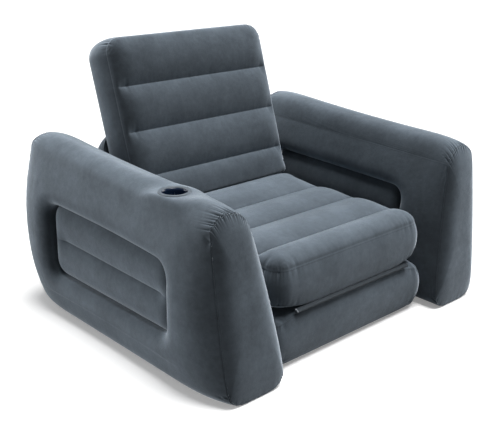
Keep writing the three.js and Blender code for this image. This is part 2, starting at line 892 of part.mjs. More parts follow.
const armNeighbour = armBody(fitGap * 2);
const baseSolid = cushionSolid(base)
  .subtract(belowFloor)
  .subtract(armNeighbour)
  .subtract(armNeighbour.scale(leftMirror));
addCushion('base', base, baseSolid, chair);
addCushion('seat', seat, cushionSolid(seat), chair);
chair.add(meshOf('rear_bolster', bolsterSolid(), flock));

const backGroup = new THREE.Group();
backGroup.position.set(0, backFoldY, backFoldHeight);
backGroup.rotation.x = THREE.MathUtils.degToRad(reclineDegrees);
const bedValve = valveGroup('bed');
bedValve.rotation.set(0, Math.PI / 2, 0);
bedValve.position.set(
  backrest.halfWidth + backrest.sideBulge - valve.sink,
  bedValvePlace.u,
  (backrest.topSeam + backrest.bottomSeam) / 2,
);
const backSolid = cushionSolid(backrest).subtract(placedSolid(valvePocket(), bedValve));
addCushion('backrest', backrest, backSolid, backGroup);
backGroup.add(bedValve);

// Hinge webs: base to seat at the front, seat to backrest at the rear
const frontFold = [foldFront, foldHeight];
chair.add(
  meshOf('front_hinge_web_lower', webLeaf([base.start, base.topSeam], frontFold), smoothFilm),
  meshOf('front_hinge_web_upper', webLeaf([seat.start, seat.bottomSeam], frontFold), smoothFilm),
  meshOf(
    'rear_hinge_web_lower',
    webLeaf([seat.end, seat.topSeam], [backFoldY, backFoldHeight]),
    smoothFilm,
  ),
);
backGroup.add(meshOf(
  'rear_hinge_web_upper',
  webLeaf([backrest.start, backrest.topSeam], [0, 0]),
  smoothFilm,
));
chair.add(backGroup);

// The origin lies under the middle of the whole chair
const model = new THREE.Group();
model.add(chair);
const extent = new THREE.Box3().setFromObject(model, true);
chair.position.y = -(extent.min.y + extent.max.y) / 2;

export default model;
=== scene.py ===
"""Inflatable chair bed: the flocked skins, seams and small fittings, built round its CAD frame."""

import json
import math

import bpy
import numpy as np
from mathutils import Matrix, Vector


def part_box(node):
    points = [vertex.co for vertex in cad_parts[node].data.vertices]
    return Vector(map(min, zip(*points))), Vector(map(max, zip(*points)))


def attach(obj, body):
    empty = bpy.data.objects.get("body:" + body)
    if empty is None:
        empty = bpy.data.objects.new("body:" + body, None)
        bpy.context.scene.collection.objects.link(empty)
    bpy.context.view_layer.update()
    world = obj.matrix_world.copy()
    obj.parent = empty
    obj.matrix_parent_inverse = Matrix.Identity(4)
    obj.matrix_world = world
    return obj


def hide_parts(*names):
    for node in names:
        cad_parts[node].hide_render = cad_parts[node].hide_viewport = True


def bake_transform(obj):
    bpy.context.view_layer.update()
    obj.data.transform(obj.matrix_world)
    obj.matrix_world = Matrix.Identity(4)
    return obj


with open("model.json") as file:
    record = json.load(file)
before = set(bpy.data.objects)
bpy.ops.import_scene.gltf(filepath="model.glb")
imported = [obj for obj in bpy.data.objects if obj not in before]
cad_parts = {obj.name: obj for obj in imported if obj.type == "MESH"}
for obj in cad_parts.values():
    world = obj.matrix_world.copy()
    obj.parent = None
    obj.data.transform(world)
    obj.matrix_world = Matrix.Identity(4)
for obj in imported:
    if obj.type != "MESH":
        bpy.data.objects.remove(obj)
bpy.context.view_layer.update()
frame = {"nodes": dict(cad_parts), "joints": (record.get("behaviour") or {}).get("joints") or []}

bl_info = {
    "name": "Inflatable Chair Bed",
    "version": (1, 0, 0),
    "blender": (4, 5, 0),
    "location": "3D View > Sidebar > Chair Bed",
    "description": "Builds the skins, seams and fittings of an inflatable chair bed",
    "category": "Object",
}

JOINTS = {joint["name"]: joint for joint in frame["joints"]}
FOLD = Vector(JOINTS["seat_unfold"]["pos_m"])
BACK_FOLD = Vector(JOINTS["backrest_unfold"]["pos_m"])


def metres(name, description, default):
    return bpy.props.FloatProperty(
        name=name, description=description, default=default, unit="LENGTH", precision=4
    )


def share(name, description, default):
    return bpy.props.FloatProperty(
        name=name, description=description, default=default, min=0, max=1, subtype="FACTOR"
    )


def tint(name, description, default):
    return bpy.props.FloatVectorProperty(
        name=name, description=description, default=default, size=3, min=0, max=1,
        subtype="COLOR",
    )


class ArmSizes(bpy.types.PropertyGroup):
    """Sizes of the two arms. Lengths along Y start at the front fold."""

    length: metres("Length", "From the front seam to the rear seam", 0.946)
    outer_x: metres("Outer X", "Outer shoulder, from the chair's middle", 0.574)
    foot_spread: metres("Foot spread", "How far the outer foot stands out", 0.014)
    shoulder_height: metres("Shoulder height", "Where the outer face meets the top", 0.494)
    inner_seam_x: metres("Inner seam X", "Lengthwise seam along the inner top edge", 0.433)
    inner_seam_height: metres("Inner seam height", "Height of that seam at the front", 0.474)
    inner_foot_x: metres("Inner foot X", "Foot of the inner face", 0.346)
    foot_height: metres("Foot height", "Where the faces meet the rounded foot", 0.026)
    side_swell: metres("Outer swell", "How far the outer face bows out", 0.016)
    inner_swell: metres("Inner swell", "How far the inner face bows in", 0.020)
    crown: metres("Crown", "Rise of the rounded top over its two edges", 0.047)
    foot_swell: metres("Foot swell", "Drop of the foot before the floor flattens it", 0.0265)
    foot_draw_in: metres("Foot draw-in", "How far the outer foot is drawn in at the ends", 0.050)
    crown_draw_in: metres("Crown draw-in", "How far the crown sinks at the ends", 0.010)
    end_swell: metres("End panel swell", "How far the end panels dome out", 0.024)
    rear_rise: metres("Rear rise", "How much higher the shoulder stands at the rear", 0.066)
    inner_rise: metres("Inner rise", "How much higher the inner seam stands at the rear", 0.038)
    foot_lead: metres("Foot lead", "How far the front seam's foot stands forward", 0.050)
    rear_full_height: metres("Rear full height", "Height of the rear seam's furthest point", 0.270)
    rear_foot_curl: metres("Rear foot curl", "How far the rear seam curls in to the floor", 0.050)
    rear_top_curl: metres("Rear top curl", "The same towards the top, at twice that height", 0.056)
    end_puff: metres("End puff", "Extra fullness just inside the end seams", 0.017)
    puff_place: metres("Puff place", "How far from the seam that is", 0.085)
    seam_draw: metres("Seam draw", "How far the end seams are drawn in on the outer side", 0.010)
    pinch: share("Pinch", "Fullness left at the end seams", 0.35)
    pinch_reach: share("Pinch reach", "Share of the length that the pinch reaches", 0.22)


class RecessSizes(bpy.types.PropertyGroup):
    """Sizes of the recess in each arm and of the channelled web in it."""

    front: metres("Front", "Front edge, from the front fold", 0.156)
    rear: metres("Rear", "Rear edge, from the front fold", 0.772)
    bottom: metres("Bottom", "Height of the lower edge", 0.146)
    top_front: metres("Top front", "Height of the upper edge at the front", 0.364)
    top_rear: metres("Top rear", "Height of the upper edge at the rear", 0.388)
    corner_radius: metres("Corner radius", "Radius of the recess corners", 0.048)
    lip: metres("Lip", "Depth of the rounded rim", 0.028)
    lip_reach: metres("Lip reach", "How far the rounding reaches over the face", 0.050)
    depth: metres("Depth", "Depth of the web's edge below the face", 0.046)
    crown: metres("Crown", "Rise of the web's two channels", 0.028)


class CushionSizes(bpy.types.PropertyGroup):
    """Sizes that the channelled cushions share."""

    side_run: metres("Side run", "From the side seam to the top's full height", 0.070)
    channel_dip: share("Channel dip", "How far the channel seams pull the top down", 0.56)
    weld_depth: metres("Weld depth", "Depth of the narrow weld line", 0.0012)
    weld_width: metres("Weld width", "Half width of the narrow weld line", 0.0022)
    air_cap: metres("Air cap", "How far the air may lift the skin between its seams", 0.006)
    corner_lift: metres("Corner lift", "How far the skin is drawn up at the corners", 0.022)
    grid_fine: metres("Fine grid", "Mesh spacing beside a seam", 0.0022)
    grid_coarse: metres("Coarse grid", "Mesh spacing away from the seams", 0.011)


class FittingSizes(bpy.types.PropertyGroup):
    """Sizes of the cup holder, the hinge strips and the valves' pockets."""

    cup_x: metres("Cup X", "Middle of the cup holder", -0.518)
    cup_y: metres("Cup Y", "Middle of the cup holder, from the front fold", 0.202)
    cup_radius: metres("Cup radius", "Inner radius of the cup", 0.036)
    cup_floor: metres("Cup floor", "Height of the cup's floor", 0.469)
    ring_width: metres("Ring width", "Width of the welded ring", 0.009)
    ring_rise: metres("Ring rise", "Height of the welded ring over the arm", 0.0030)
    web_half_length: metres("Strip half length", "Half the length of a hinge strip", 0.252)
    web_thickness: metres("Strip thickness", "Thickness of a hinge strip", 0.0012)


class Finishes(bpy.types.PropertyGroup):
    """Colours of the chair."""

    flock: tint("Flock", "Slate grey flocked skin", (0.096, 0.117, 0.139))
    cup: tint("Cup", "Glossy dark cup film", (0.009, 0.020, 0.050))
    ring: tint("Ring", "Welded cup ring", (0.145, 0.172, 0.200))
    strip: tint("Hinge strip", "Smooth dark film of the hinge strips", (0.034, 0.042, 0.050))
    strip_tip: tint("Strip tip", "Pale left ends of the hinge strips", (0.20, 0.22, 0.24))
    valve: tint("Valve", "Moulded valve plastic", (0.020, 0.024, 0.028))
    beam: tint("Beam", "Clear grey film of the inner beams", (0.30, 0.33, 0.36))
    rubber: tint("Rubber", "Rubber of the valve flaps", (0.010, 0.011, 0.012))


class ChairBedSettings(bpy.types.PropertyGroup):
    """All settings of the chair bed."""

    arm: bpy.props.PointerProperty(type=ArmSizes)
    recess: bpy.props.PointerProperty(type=RecessSizes)
    cushion: bpy.props.PointerProperty(type=CushionSizes)
    fitting: bpy.props.PointerProperty(type=FittingSizes)
    finish: bpy.props.PointerProperty(type=Finishes)


# Meshes

def bulge(t, fullness):
    """0 at both ends of a span and 1 in its middle; a higher fullness is flatter."""
    return 1 - np.abs(2 * t - 1) ** fullness


def smoothstep(low, high, value):
    t = np.clip((value - low) / (high - low), 0, 1)
    return t * t * (3 - 2 * t)


def graded_lines(marks, fine, coarse, growth=1.5):
    """Grid lines through every mark, close beside the marks and further apart between them."""
    lines = [marks[0]]
    for low, high in zip(marks, marks[1:]):
        half, total, step, steps = (high - low) / 2, 0.0, fine, []
        while total + step < half - step * 0.3:
            total += step
            steps.append(total)
            step = min(step * growth, coarse)
        rest = high - low - 2 * total
        count = max(1, round(rest / step))
        middle = [low + total + rest * i / count for i in range(1, count)]
        lines += [low + s for s in steps] + middle + [high - s for s in reversed(steps)] + [high]
    return np.array(lines)


def strip_quads(grid):
    """Quads between neighbouring rows and columns of an array of vertex numbers."""
    return np.stack([grid[:-1, :-1], grid[1:, :-1], grid[1:, 1:], grid[:-1, 1:]], -1).reshape(-1, 4)


def wrapped(grid, axis):
    """The grid with its first row or column repeated at its end, to close a loop."""
    return np.concatenate([grid, np.take(grid, [0], axis)], axis)


def box_grid(nx, ny, nz):
    """Numbers (i, j, k) of the points on a box's surface grid, and its quads."""
    mask = np.zeros((nx, ny, nz), bool)
    mask[[0, -1]] = mask[:, [0, -1]] = mask[:, :, [0, -1]] = True
    number = np.full(mask.shape, -1)
    number[mask] = np.arange(mask.sum())
    outward = [number[:, :, -1], number[-1], number[:, 0]]
    inward = [number[:, :, 0], number[0], number[:, -1]]
    quads = [strip_quads(g) for g in outward] + [strip_quads(g)[:, ::-1] for g in inward]
    return np.argwhere(mask), np.concatenate(quads)


def fan(ring, centre, flipped=False):
    """Triangles from a closed ring of vertex numbers to a centre."""
    pairs = zip(ring, np.roll(ring, -1))
    return [(q, p, centre) if flipped else (p, q, centre) for p, q in pairs]


def linked(name, data):
    """A new object with the data, in the scene."""
    obj = bpy.data.objects.new(name, data)
    bpy.context.scene.collection.objects.link(obj)
    return obj


def mesh_object(name, points, faces, attributes=None):
    """A smooth mesh object whose closed surface faces outwards."""
    mesh = bpy.data.meshes.new(name)
    mesh.from_pydata(np.asarray(points).tolist(), [], [list(map(int, f)) for f in faces])
    for key, values in (attributes or {}).items():
        layer = mesh.attributes.new(key, "FLOAT", "POINT")
        layer.data.foreach_set("value", np.asarray(values, np.float32))
    mesh.polygons.foreach_set("use_smooth", [True] * len(mesh.polygons))
    centres = np.zeros(len(mesh.polygons) * 3)
    normals = np.zeros(len(mesh.polygons) * 3)
    areas = np.zeros(len(mesh.polygons))
    mesh.polygons.foreach_get("center", centres)
    mesh.polygons.foreach_get("normal", normals)
    mesh.polygons.foreach_get("area", areas)
    if ((centres * normals).reshape(-1, 3).sum(1) * areas).sum() < 0:
        mesh.flip_normals()
    return linked(name, mesh)


def mesh_made_by(obj, name):
    """A new mesh of what the object's modifiers make of it."""
    graph = bpy.context.evaluated_depsgraph_get()
    mesh = bpy.data.meshes.new_from_object(obj.evaluated_get(graph))
    mesh.name = name
    return mesh


def evaluated_mesh(obj):
    """The object's own mesh is replaced by what its modifiers make of it."""
    mesh = mesh_made_by(obj, obj.name)
    obj.modifiers.clear()
    obj.data = mesh
    return obj


def subtract(obj, cutter):
    """Cuts a closed mesh out of a skin and removes the cutter."""
    modifier = obj.modifiers.new("Cut", "BOOLEAN")
    modifier.operation = "DIFFERENCE"
    modifier.solver = "EXACT"
    modifier.object = cutter
    evaluated_mesh(obj)
    bpy.data.objects.remove(cutter)


def mirrored(points):
    return points * np.array([-1, 1, 1])


# Radius at which the ends of a turned profile close on its axis
ON_AXIS = 1e-5


def turned(name, profile, origin, axis, steps=72):
    """A lathed mesh from [radius, height] points that close on themselves."""
    profile = np.array(profile)
    angles = np.linspace(0, 2 * math.pi, steps, endpoint=False)
    ring = np.stack([np.cos(angles), np.sin(angles)], -1)
    points = np.concatenate(
        [ring[:, None] * profile[None, :, :1], np.repeat(profile[None, :, 1:], steps, 0)], -1
    )
    turn = np.array(Vector((0, 0, 1)).rotation_difference(Vector(axis)).to_matrix())
    grid = np.arange(steps * len(profile)).reshape(steps, -1)
    quads = strip_quads(wrapped(wrapped(grid, 0), 1))
    return mesh_object(name, points.reshape(-1, 3) @ turn.T + np.array(origin), quads)


# Geometry Nodes

def node_tree(name, sockets):
    tree = bpy.data.node_groups.new(name, "GeometryNodeTree")
    tree.interface.new_socket("Geometry", in_out="INPUT", socket_type="NodeSocketGeometry")
    for label, kind, default in sockets:
        socket = tree.interface.new_socket(label, in_out="INPUT", socket_type=kind)
        if default is not None:
            socket.default_value = default
    tree.interface.new_socket("Geometry", in_out="OUTPUT", socket_type="NodeSocketGeometry")
    return tree


def closing_nodes(tree, source, entry):
    """Realize Instances and Set Material at the end of a tree."""
    real = tree.nodes.new("GeometryNodeRealizeInstances")
    paint = tree.nodes.new("GeometryNodeSetMaterial")
    result = tree.nodes.new("NodeGroupOutput")
    tree.links.new(source, real.inputs["Geometry"])
    tree.links.new(real.outputs["Geometry"], paint.inputs["Geometry"])
    tree.links.new(entry.outputs["Material"], paint.inputs["Material"])
    tree.links.new(paint.outputs["Geometry"], result.inputs["Geometry"])


def math_node(tree, operation, *values):
    """Output of a Math node whose inputs are sockets or numbers."""
    node = tree.nodes.new("ShaderNodeMath")
    node.operation = operation
    for socket, value in zip(node.inputs, values):
        if isinstance(value, bpy.types.NodeSocket):
            tree.links.new(value, socket)
        else:
            socket.default_value = value
    return node.outputs[0]


# Distance from a seam within which its puckers fade, so that the seam stays closed
SEAM_HOLD = 0.0025


def pucker_tree():
    """Short creases that run away from a seam, deepest just beside it."""
    tree = node_tree("Seam Puckers", [
        ("Depth", "NodeSocketFloat", 0.003),
        ("Spacing", "NodeSocketFloat", 0.017),
        ("Reach", "NodeSocketFloat", 0.016),
        ("Seed", "NodeSocketFloat", 0.0),
        ("Material", "NodeSocketMaterial", None),
    ])
    nodes, links = tree.nodes, tree.links
    entry = nodes.new("NodeGroupInput")

    def stored(name):
        node = nodes.new("GeometryNodeInputNamedAttribute")
        node.data_type = "FLOAT"
        node.inputs["Name"].default_value = name
        return node.outputs["Attribute"]

    def maths(operation, *values):
        return math_node(tree, operation, *values)

    def noise(position):
        node = nodes.new("ShaderNodeTexNoise")
        node.noise_dimensions = "1D"
        node.inputs["Scale"].default_value = 1.0
        node.inputs["Detail"].default_value = 1.0
        links.new(position, node.inputs["W"])
        return node.outputs[0]

    turns = maths("DIVIDE", stored("seam_run"), entry.outputs["Spacing"])
    wander = noise(maths("ADD", maths("MULTIPLY", turns, 0.37), entry.outputs["Seed"]))
    phase = maths("MULTIPLY", maths("ADD", turns, maths("MULTIPLY", wander, 2.2)), math.pi)
    ridge = maths("ABSOLUTE", maths("SINE", phase))
    crease = maths("POWER", maths("SUBTRACT", 1.0, ridge), 1.4)
    drift = maths("ADD", maths("MULTIPLY", turns, 0.61), entry.outputs["Seed"])
    size = noise(maths("ADD", drift, 7.3))
    uneven = maths("MULTIPLY", size, maths("MULTIPLY", size, 4.0))
    fade = maths("EXPONENT", maths(
        "MULTIPLY", maths("DIVIDE", stored("seam_distance"), entry.outputs["Reach"]), -1.0))
    held = maths("ADD", stored("seam_distance"), SEAM_HOLD)
    beside = maths("DIVIDE", stored("seam_distance"), held)
    amount = maths("MULTIPLY", maths("MULTIPLY", crease, uneven), maths("MULTIPLY", fade, beside))
    amount = maths("MULTIPLY", amount, stored("pucker"))
    amount = maths("MULTIPLY", amount, maths("MULTIPLY", entry.outputs["Depth"], -1.0))
    scale = nodes.new("ShaderNodeVectorMath")
    scale.operation = "SCALE"
    links.new(nodes.new("GeometryNodeInputNormal").outputs["Normal"], scale.inputs[0])
    links.new(amount, scale.inputs["Scale"])
    move = nodes.new("GeometryNodeSetPosition")
    links.new(entry.outputs["Geometry"], move.inputs["Geometry"])
    links.new(scale.outputs[0], move.inputs["Offset"])
    closing_nodes(tree, move.outputs["Geometry"], entry)
    return tree


def weld_tree():
    """A low welded bead along a curve."""
    tree = node_tree("Weld Bead", [
        ("Radius", "NodeSocketFloat", 0.0006),
        ("Material", "NodeSocketMaterial", None),
    ])
    nodes, links = tree.nodes, tree.links
    entry = nodes.new("NodeGroupInput")
    profile = nodes.new("GeometryNodeCurvePrimitiveCircle")
    profile.inputs["Resolution"].default_value = 8
    sweep = nodes.new("GeometryNodeCurveToMesh")
    sweep.inputs["Fill Caps"].default_value = True
    smooth = nodes.new("GeometryNodeSetShadeSmooth")
    links.new(entry.outputs["Radius"], profile.inputs["Radius"])
    links.new(entry.outputs["Geometry"], sweep.inputs["Curve"])
    links.new(profile.outputs["Curve"], sweep.inputs["Profile Curve"])
    links.new(sweep.outputs["Mesh"], smooth.inputs["Geometry"])
    closing_nodes(tree, smooth.outputs["Geometry"], entry)
    return tree


def add_nodes(obj, tree, **values):
    """A Geometry Nodes modifier with its named inputs set by identifier."""
    modifier = obj.modifiers.new(tree.name, "NODES")
    modifier.node_group = tree
    sockets = {s.name: s.identifier for s in tree.interface.items_tree if s.in_out == "INPUT"}
    for label, value in values.items():
        modifier[sockets[label]] = value


def weld_beads(name, paths, radius, material, cyclic=False):
    """One mesh of welded beads along lists of points."""
    curve = bpy.data.curves.new(name, "CURVE")
    curve.dimensions = "3D"
    for path in paths:
        spline = curve.splines.new("POLY")
        spline.points.add(len(path) - 1)
        for point, place in zip(spline.points, path):
            point.co = (*place, 1)
        spline.use_cyclic_u = cyclic
    source = linked(name + "_path", curve)
    add_nodes(source, tree_named("Weld Bead", weld_tree), Radius=radius, Material=material)
    mesh = mesh_made_by(source, name)
    bpy.data.objects.remove(source)
    return linked(name, mesh)


def tree_named(name, make):
    return bpy.data.node_groups.get(name) or make()


# Materials

class Shader:
    """A material's node tree with its Principled shader, and short ways to add nodes."""

    def __init__(self, name, color, roughness, **sockets):
        self.material = bpy.data.materials.new(name)
        self.material.use_nodes = True
        self.nodes = self.material.node_tree.nodes
        self.links = self.material.node_tree.links
        self.surface = self.nodes["Principled BSDF"]
        self.surface.inputs["Base Color"].default_value = (*color, 1)
        self.surface.inputs["Roughness"].default_value = roughness
        for label, value in sockets.items():
            self.surface.inputs[label.replace("_", " ")].default_value = value
        self.material.diffuse_color = (*color, 1)
        self.place = self.nodes.new("ShaderNodeTexCoord").outputs["Object"]

    def noise(self, scale, detail=2.0, roughness=0.5, place=None):
        node = self.nodes.new("ShaderNodeTexNoise")
        node.inputs["Scale"].default_value = scale
        node.inputs["Detail"].default_value = detail
        node.inputs["Roughness"].default_value = roughness
        self.links.new(place or self.place, node.inputs["Vector"])
        return node.outputs[0]

    def range(self, value, low, high, to_low, to_high, smooth=False):
        node = self.nodes.new("ShaderNodeMapRange")
        node.interpolation_type = "SMOOTHSTEP" if smooth else "LINEAR"
        for label, number in zip(("From Min", "From Max", "To Min", "To Max"),
                                 (low, high, to_low, to_high)):
            node.inputs[label].default_value = number
        self.links.new(value, node.inputs["Value"])
        return node.outputs[0]

    def maths(self, operation, *values):
        return math_node(self.material.node_tree, operation, *values)

    def attribute(self, name):
        node = self.nodes.new("ShaderNodeAttribute")
        node.attribute_name = name
        return node.outputs["Fac"]

    def shade(self, color, factor):
        """Base colour times a grey factor."""
        node = self.nodes.new("ShaderNodeVectorMath")
        node.operation = "SCALE"
        if isinstance(color, bpy.types.NodeSocket):
            self.links.new(color, node.inputs[0])
        else:
            node.inputs[0].default_value = color
        self.links.new(factor, node.inputs["Scale"])
        self.links.new(node.outputs[0], self.surface.inputs["Base Color"])

    def blend(self, factor, first, second):
        node = self.nodes.new("ShaderNodeMix")
        node.data_type = "RGBA"
        node.inputs[6].default_value = (*first, 1)
        node.inputs[7].default_value = (*second, 1)
        self.links.new(factor, node.inputs[0])
        return node.outputs[2]

    def bump(self, height, strength, distance):
        node = self.nodes.new("ShaderNodeBump")
        node.inputs["Strength"].default_value = strength
        node.inputs["Distance"].default_value = distance
        self.links.new(height, node.inputs["Height"])
        previous = self.surface.inputs["Normal"]
        if previous.is_linked:
            self.links.new(previous.links[0].from_socket, node.inputs["Normal"])
        self.links.new(node.outputs["Normal"], previous)


def flock_material(color):
    """Short velvety flock: soft brushed patches, fine speckle, painted shade beside the seams with a
    paler line on each seam, a painted sheen and shade set by the angle of view, and the shader's own
    sheen.
    """
    s = Shader("Flocked Slate", color, 0.95, Specular_IOR_Level=0.1, Sheen_Weight=1.0,
               Sheen_Roughness=0.34, Sheen_Tint=(0.80, 0.88, 0.96, 1))
    patches = s.range(s.noise(8, 4, 0.7), 0.3, 0.7, 0.80, 1.20)
    brushed = s.range(s.noise(60, 3, 0.7), 0.3, 0.7, 0.91, 1.09)
    speckle = s.range(s.noise(900, 1, 0.5), 0.3, 0.7, 0.92, 1.08)
    to_seam = s.attribute("seam_distance")
    # Painted shade in each seam's groove: up to a fifth darker within 1 to 5 mm of the seam; the next
    # line adds a paler line right on the seam
    painted_groove_shade = s.range(to_seam, 0.0010, 0.0050, 0.80, 1.0, True)
    line = s.range(to_seam, 0.0004, 0.0012, 0.30, 0.0, True)
    # Painted sheen and shade: Layer Weight's facing scales the colour from 0.38 where the surface
    # faces the view up to 2.25 at grazing
    sheen_facing = s.nodes.new("ShaderNodeLayerWeight")
    sheen_facing.inputs["Blend"].default_value = 0.5
    painted_sheen_and_shade = s.range(sheen_facing.outputs["Facing"], 0.0, 1.0, 0.38, 2.25)
    factor = s.maths("MULTIPLY", s.maths("MULTIPLY", patches, brushed),
                     s.maths("MULTIPLY", speckle, s.maths("ADD", painted_groove_shade, line)))
    s.shade(color, s.maths("MULTIPLY", factor, painted_sheen_and_shade))
    s.bump(s.noise(42, 3, 0.6), 0.22, 0.004)
    s.bump(s.noise(1100, 2, 0.7), 0.35, 0.0006)
    return s.material


def film_material(name, color, roughness, grain=90.0, **sockets):
    """Smooth plastic film or moulding with faint ripples and uneven gloss."""
    s = Shader(name, color, roughness, **sockets)
    s.shade(color, s.range(s.noise(grain, 3), 0.3, 0.7, 0.90, 1.10))
    s.links.new(s.range(s.noise(grain * 3, 2), 0.3, 0.7, roughness * 0.8, roughness * 1.25),
                s.surface.inputs["Roughness"])
    s.bump(s.noise(grain * 2, 2), 0.15, 0.001)
    return s.material


def strip_material(color, tip, half_length):
    """Hinge strip film, dark along its length and pale where its bare left end shows."""
    s = Shader("Hinge Strip Film", color, 0.75, Specular_IOR_Level=0.25)
    split = s.nodes.new("ShaderNodeSeparateXYZ")
    s.links.new(s.place, split.inputs[0])
    reach = s.maths("MULTIPLY", split.outputs["X"], -1.0)
    ends = s.range(reach, half_length - 0.006, half_length - 0.003, 0.0, 1.0, True)
    mixed = s.blend(ends, color, tip)
    s.shade(mixed, s.range(s.noise(140, 3), 0.3, 0.7, 0.88, 1.12))
    s.bump(s.noise(260, 2), 0.2, 0.001)
    return s.material


def materials(settings):
    """All finishes by the names that the pieces use, made once."""
    if "Flocked Slate" not in bpy.data.materials:
        colors = settings.finish
        flock_material(colors.flock)
        film_material("Cup Film", colors.cup, 0.22, 60.0, Coat_Weight=0.3, Coat_Roughness=0.15)
        film_material("Ring Film", colors.ring, 0.42, 140.0)
        film_material("Valve Plastic", colors.valve, 0.38, 220.0)
        film_material("Beam Film", colors.beam, 0.5)
        film_material("Flap Rubber", colors.rubber, 0.7, 300.0)
        strip_material(colors.strip, colors.strip_tip, settings.fitting.web_half_length)
    return bpy.data.materials


def finished(obj, body, nodes=(), material=None):
    """Gives a finished piece its material, parents it to its body and hides the CAD nodes that it
    stands for.
    """
    if material is not None:
        obj.data.materials.clear()
        obj.data.materials.append(material)
    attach(obj, body)
    if nodes:
        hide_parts(*nodes)
    return obj


# Depth, spacing and reach of the puckers at the seams of each kind of skin
PUCKERS = {
    "arm rim": (0.0110, 0.0100, 0.014),
    "arm end": (0.0085, 0.0100, 0.0065),
    "arm web": (0.0016, 0.015, 0.012),
    "cushion": (0.0080, 0.011, 0.012),
    "bolster": (0.003, 0.018, 0.02),
}


def puckered(obj, material, kind, seed, cutter=None):
    """One subdivision, any cut, then the seam puckers, as a plain mesh."""
    smooth = obj.modifiers.new("Smooth", "SUBSURF")
    smooth.levels = smooth.render_levels = 1
    evaluated_mesh(obj)
    if cutter is not None:
        subtract(obj, cutter)
    depth, spacing, reach = PUCKERS[kind]
    add_nodes(obj, tree_named("Seam Puckers", pucker_tree), Depth=depth, Spacing=spacing,
              Reach=reach, Seed=seed, Material=material)
    return evaluated_mesh(obj)


# The short cloth run: its frames, steps a frame and air pressure, then what the film is like
AIR_FRAMES, AIR_STEPS, AIR_PRESSURE = 20, 5, 4
FILM_MASS, FILM_SHRINK, FILM_STIFFNESS = 0.3, 0.001, 8


def inflated(obj, free, cap):
    """The free parts of a closed skin swell under air pressure, held at the seams."""
    mesh = obj.data
    start, end = np.zeros(len(mesh.vertices) * 3), np.zeros(len(mesh.vertices) * 3)
    mesh.vertices.foreach_get("co", start)
    seams = obj.vertex_groups.new(name="seams")
    for i, loose in enumerate(free):
        seams.add([i], 1 - float(loose), "REPLACE")
    air = obj.modifiers.new("Air", "CLOTH")
    air.settings.quality = AIR_STEPS
    air.settings.mass = FILM_MASS
    air.settings.use_pressure = True
    air.settings.uniform_pressure_force = AIR_PRESSURE
    air.settings.shrink_min = FILM_SHRINK
    air.settings.bending_stiffness = FILM_STIFFNESS
    air.settings.vertex_group_mass = seams.name
    air.settings.effector_weights.gravity = 0
    air.collision_settings.use_collision = False
    air.point_cache.frame_end = AIR_FRAMES
    for number in range(1, AIR_FRAMES + 1):
        bpy.context.scene.frame_set(number)
    graph = bpy.context.evaluated_depsgraph_get()
    obj.evaluated_get(graph).data.vertices.foreach_get("co", end)
    moved = (end - start).reshape(-1, 3)
    far = np.linalg.norm(moved, axis=1)
    moved *= (np.asarray(free) * np.minimum(1, cap / np.maximum(far, 1e-9)))[:, None]
    obj.modifiers.clear()
    obj.vertex_groups.clear()
    mesh.vertices.foreach_set("co", start + moved.reshape(-1))
    mesh.update()
    bpy.context.scene.frame_set(1)
    return obj


# Arms

SIDE_STEPS, CROWN_STEPS, FOOT_STEPS = 26, 56, 24
SIDE_FULLNESS, CROWN_FULLNESS, FOOT_FULLNESS = 2.5, 2.6, 4
# Share of the end puff that the crown and the inner face take
CROWN_PUFF = INNER_PUFF = 0.4
SEAM_DRAW_REACH, SEAM_DRAW_AT_FOOT = 0.03, 0.3
# Rounds of smoothing at a section's corners, and the share of the lost fullness put back
CORNER_ROUNDS, CORNER_GIVEN_BACK = 26, 0.35
# Shares of the way to the recess's rounded rim, angles over that rim, shares of the way below it
RECESS_STARTS = (0.22, 0.42, 0.6, 0.75, 0.87, 0.95, 1.0)
LIP_DEGREES = (90, 82, 74, 66, 57, 48, 38, 27, 15, 5)
RECESS_WALLS = (0.15, 0.55, 1.0)
# A distance from any seam at which no weld line, painted seam shade or pucker shows
NO_SEAM = 0.2
# Added to the distance from a channel seam, whose painted seam shade, pale line and puckers show less
# than an edge's
CHANNEL_SEAM_OFFSET = 0.0018
PANEL_GAP = 0.0003
# Room round the cup in the arm's skin, and a height above the arm to cut it from
CUP_WELL_ROOM, CUP_WELL_TOP = 0.0023, 0.62
# Room round a valve's flange, depth of its seat, and how far the cut reaches outwards
POCKET_ROOM, FLANGE_SEAT, POCKET_REACH = 0.0004, 0.0019, 0.06
# The narrower hole behind the flange, for the valve's neck
NECK_HOLE_RADIUS, NECK_HOLE_BACK = 0.0195, -0.0035


def arm_fill(arm, along):
    near = np.clip(np.minimum(along, 1 - along) / arm.pinch_reach, 0, 1)
    return arm.pinch + (1 - arm.pinch) * bulge(near / 2, 3)


def arm_puff(arm, along):
    """Extra swell beside the end seams, none at the seams themselves."""
    away = np.minimum(along, 1 - along) * arm.length / arm.puff_place
    return arm.end_puff * away * np.exp(1 - away)


def arm_draw(arm, along):
    """How far the outer side is drawn in towards its end seams."""
    return arm.seam_draw * np.exp(-np.minimum(along, 1 - along) * arm.length / SEAM_DRAW_REACH)


def arm_front(arm, z):
    """Y of the front seam at a height, from the front fold."""
    return -arm.foot_lead * (1 - z / arm.inner_seam_height)


def arm_rear(arm, z):
    """Y of the rear seam, which curls forward towards the floor and the top."""
    curl = np.where(z < arm.rear_full_height, arm.rear_foot_curl, arm.rear_top_curl)
    return arm.length - curl * (z / arm.rear_full_height - 1) ** 2


def arm_share(arm, y, z):
    front = arm_front(arm, z)
    return np.clip((y - front) / (arm_rear(arm, z) - front), 0, 1)


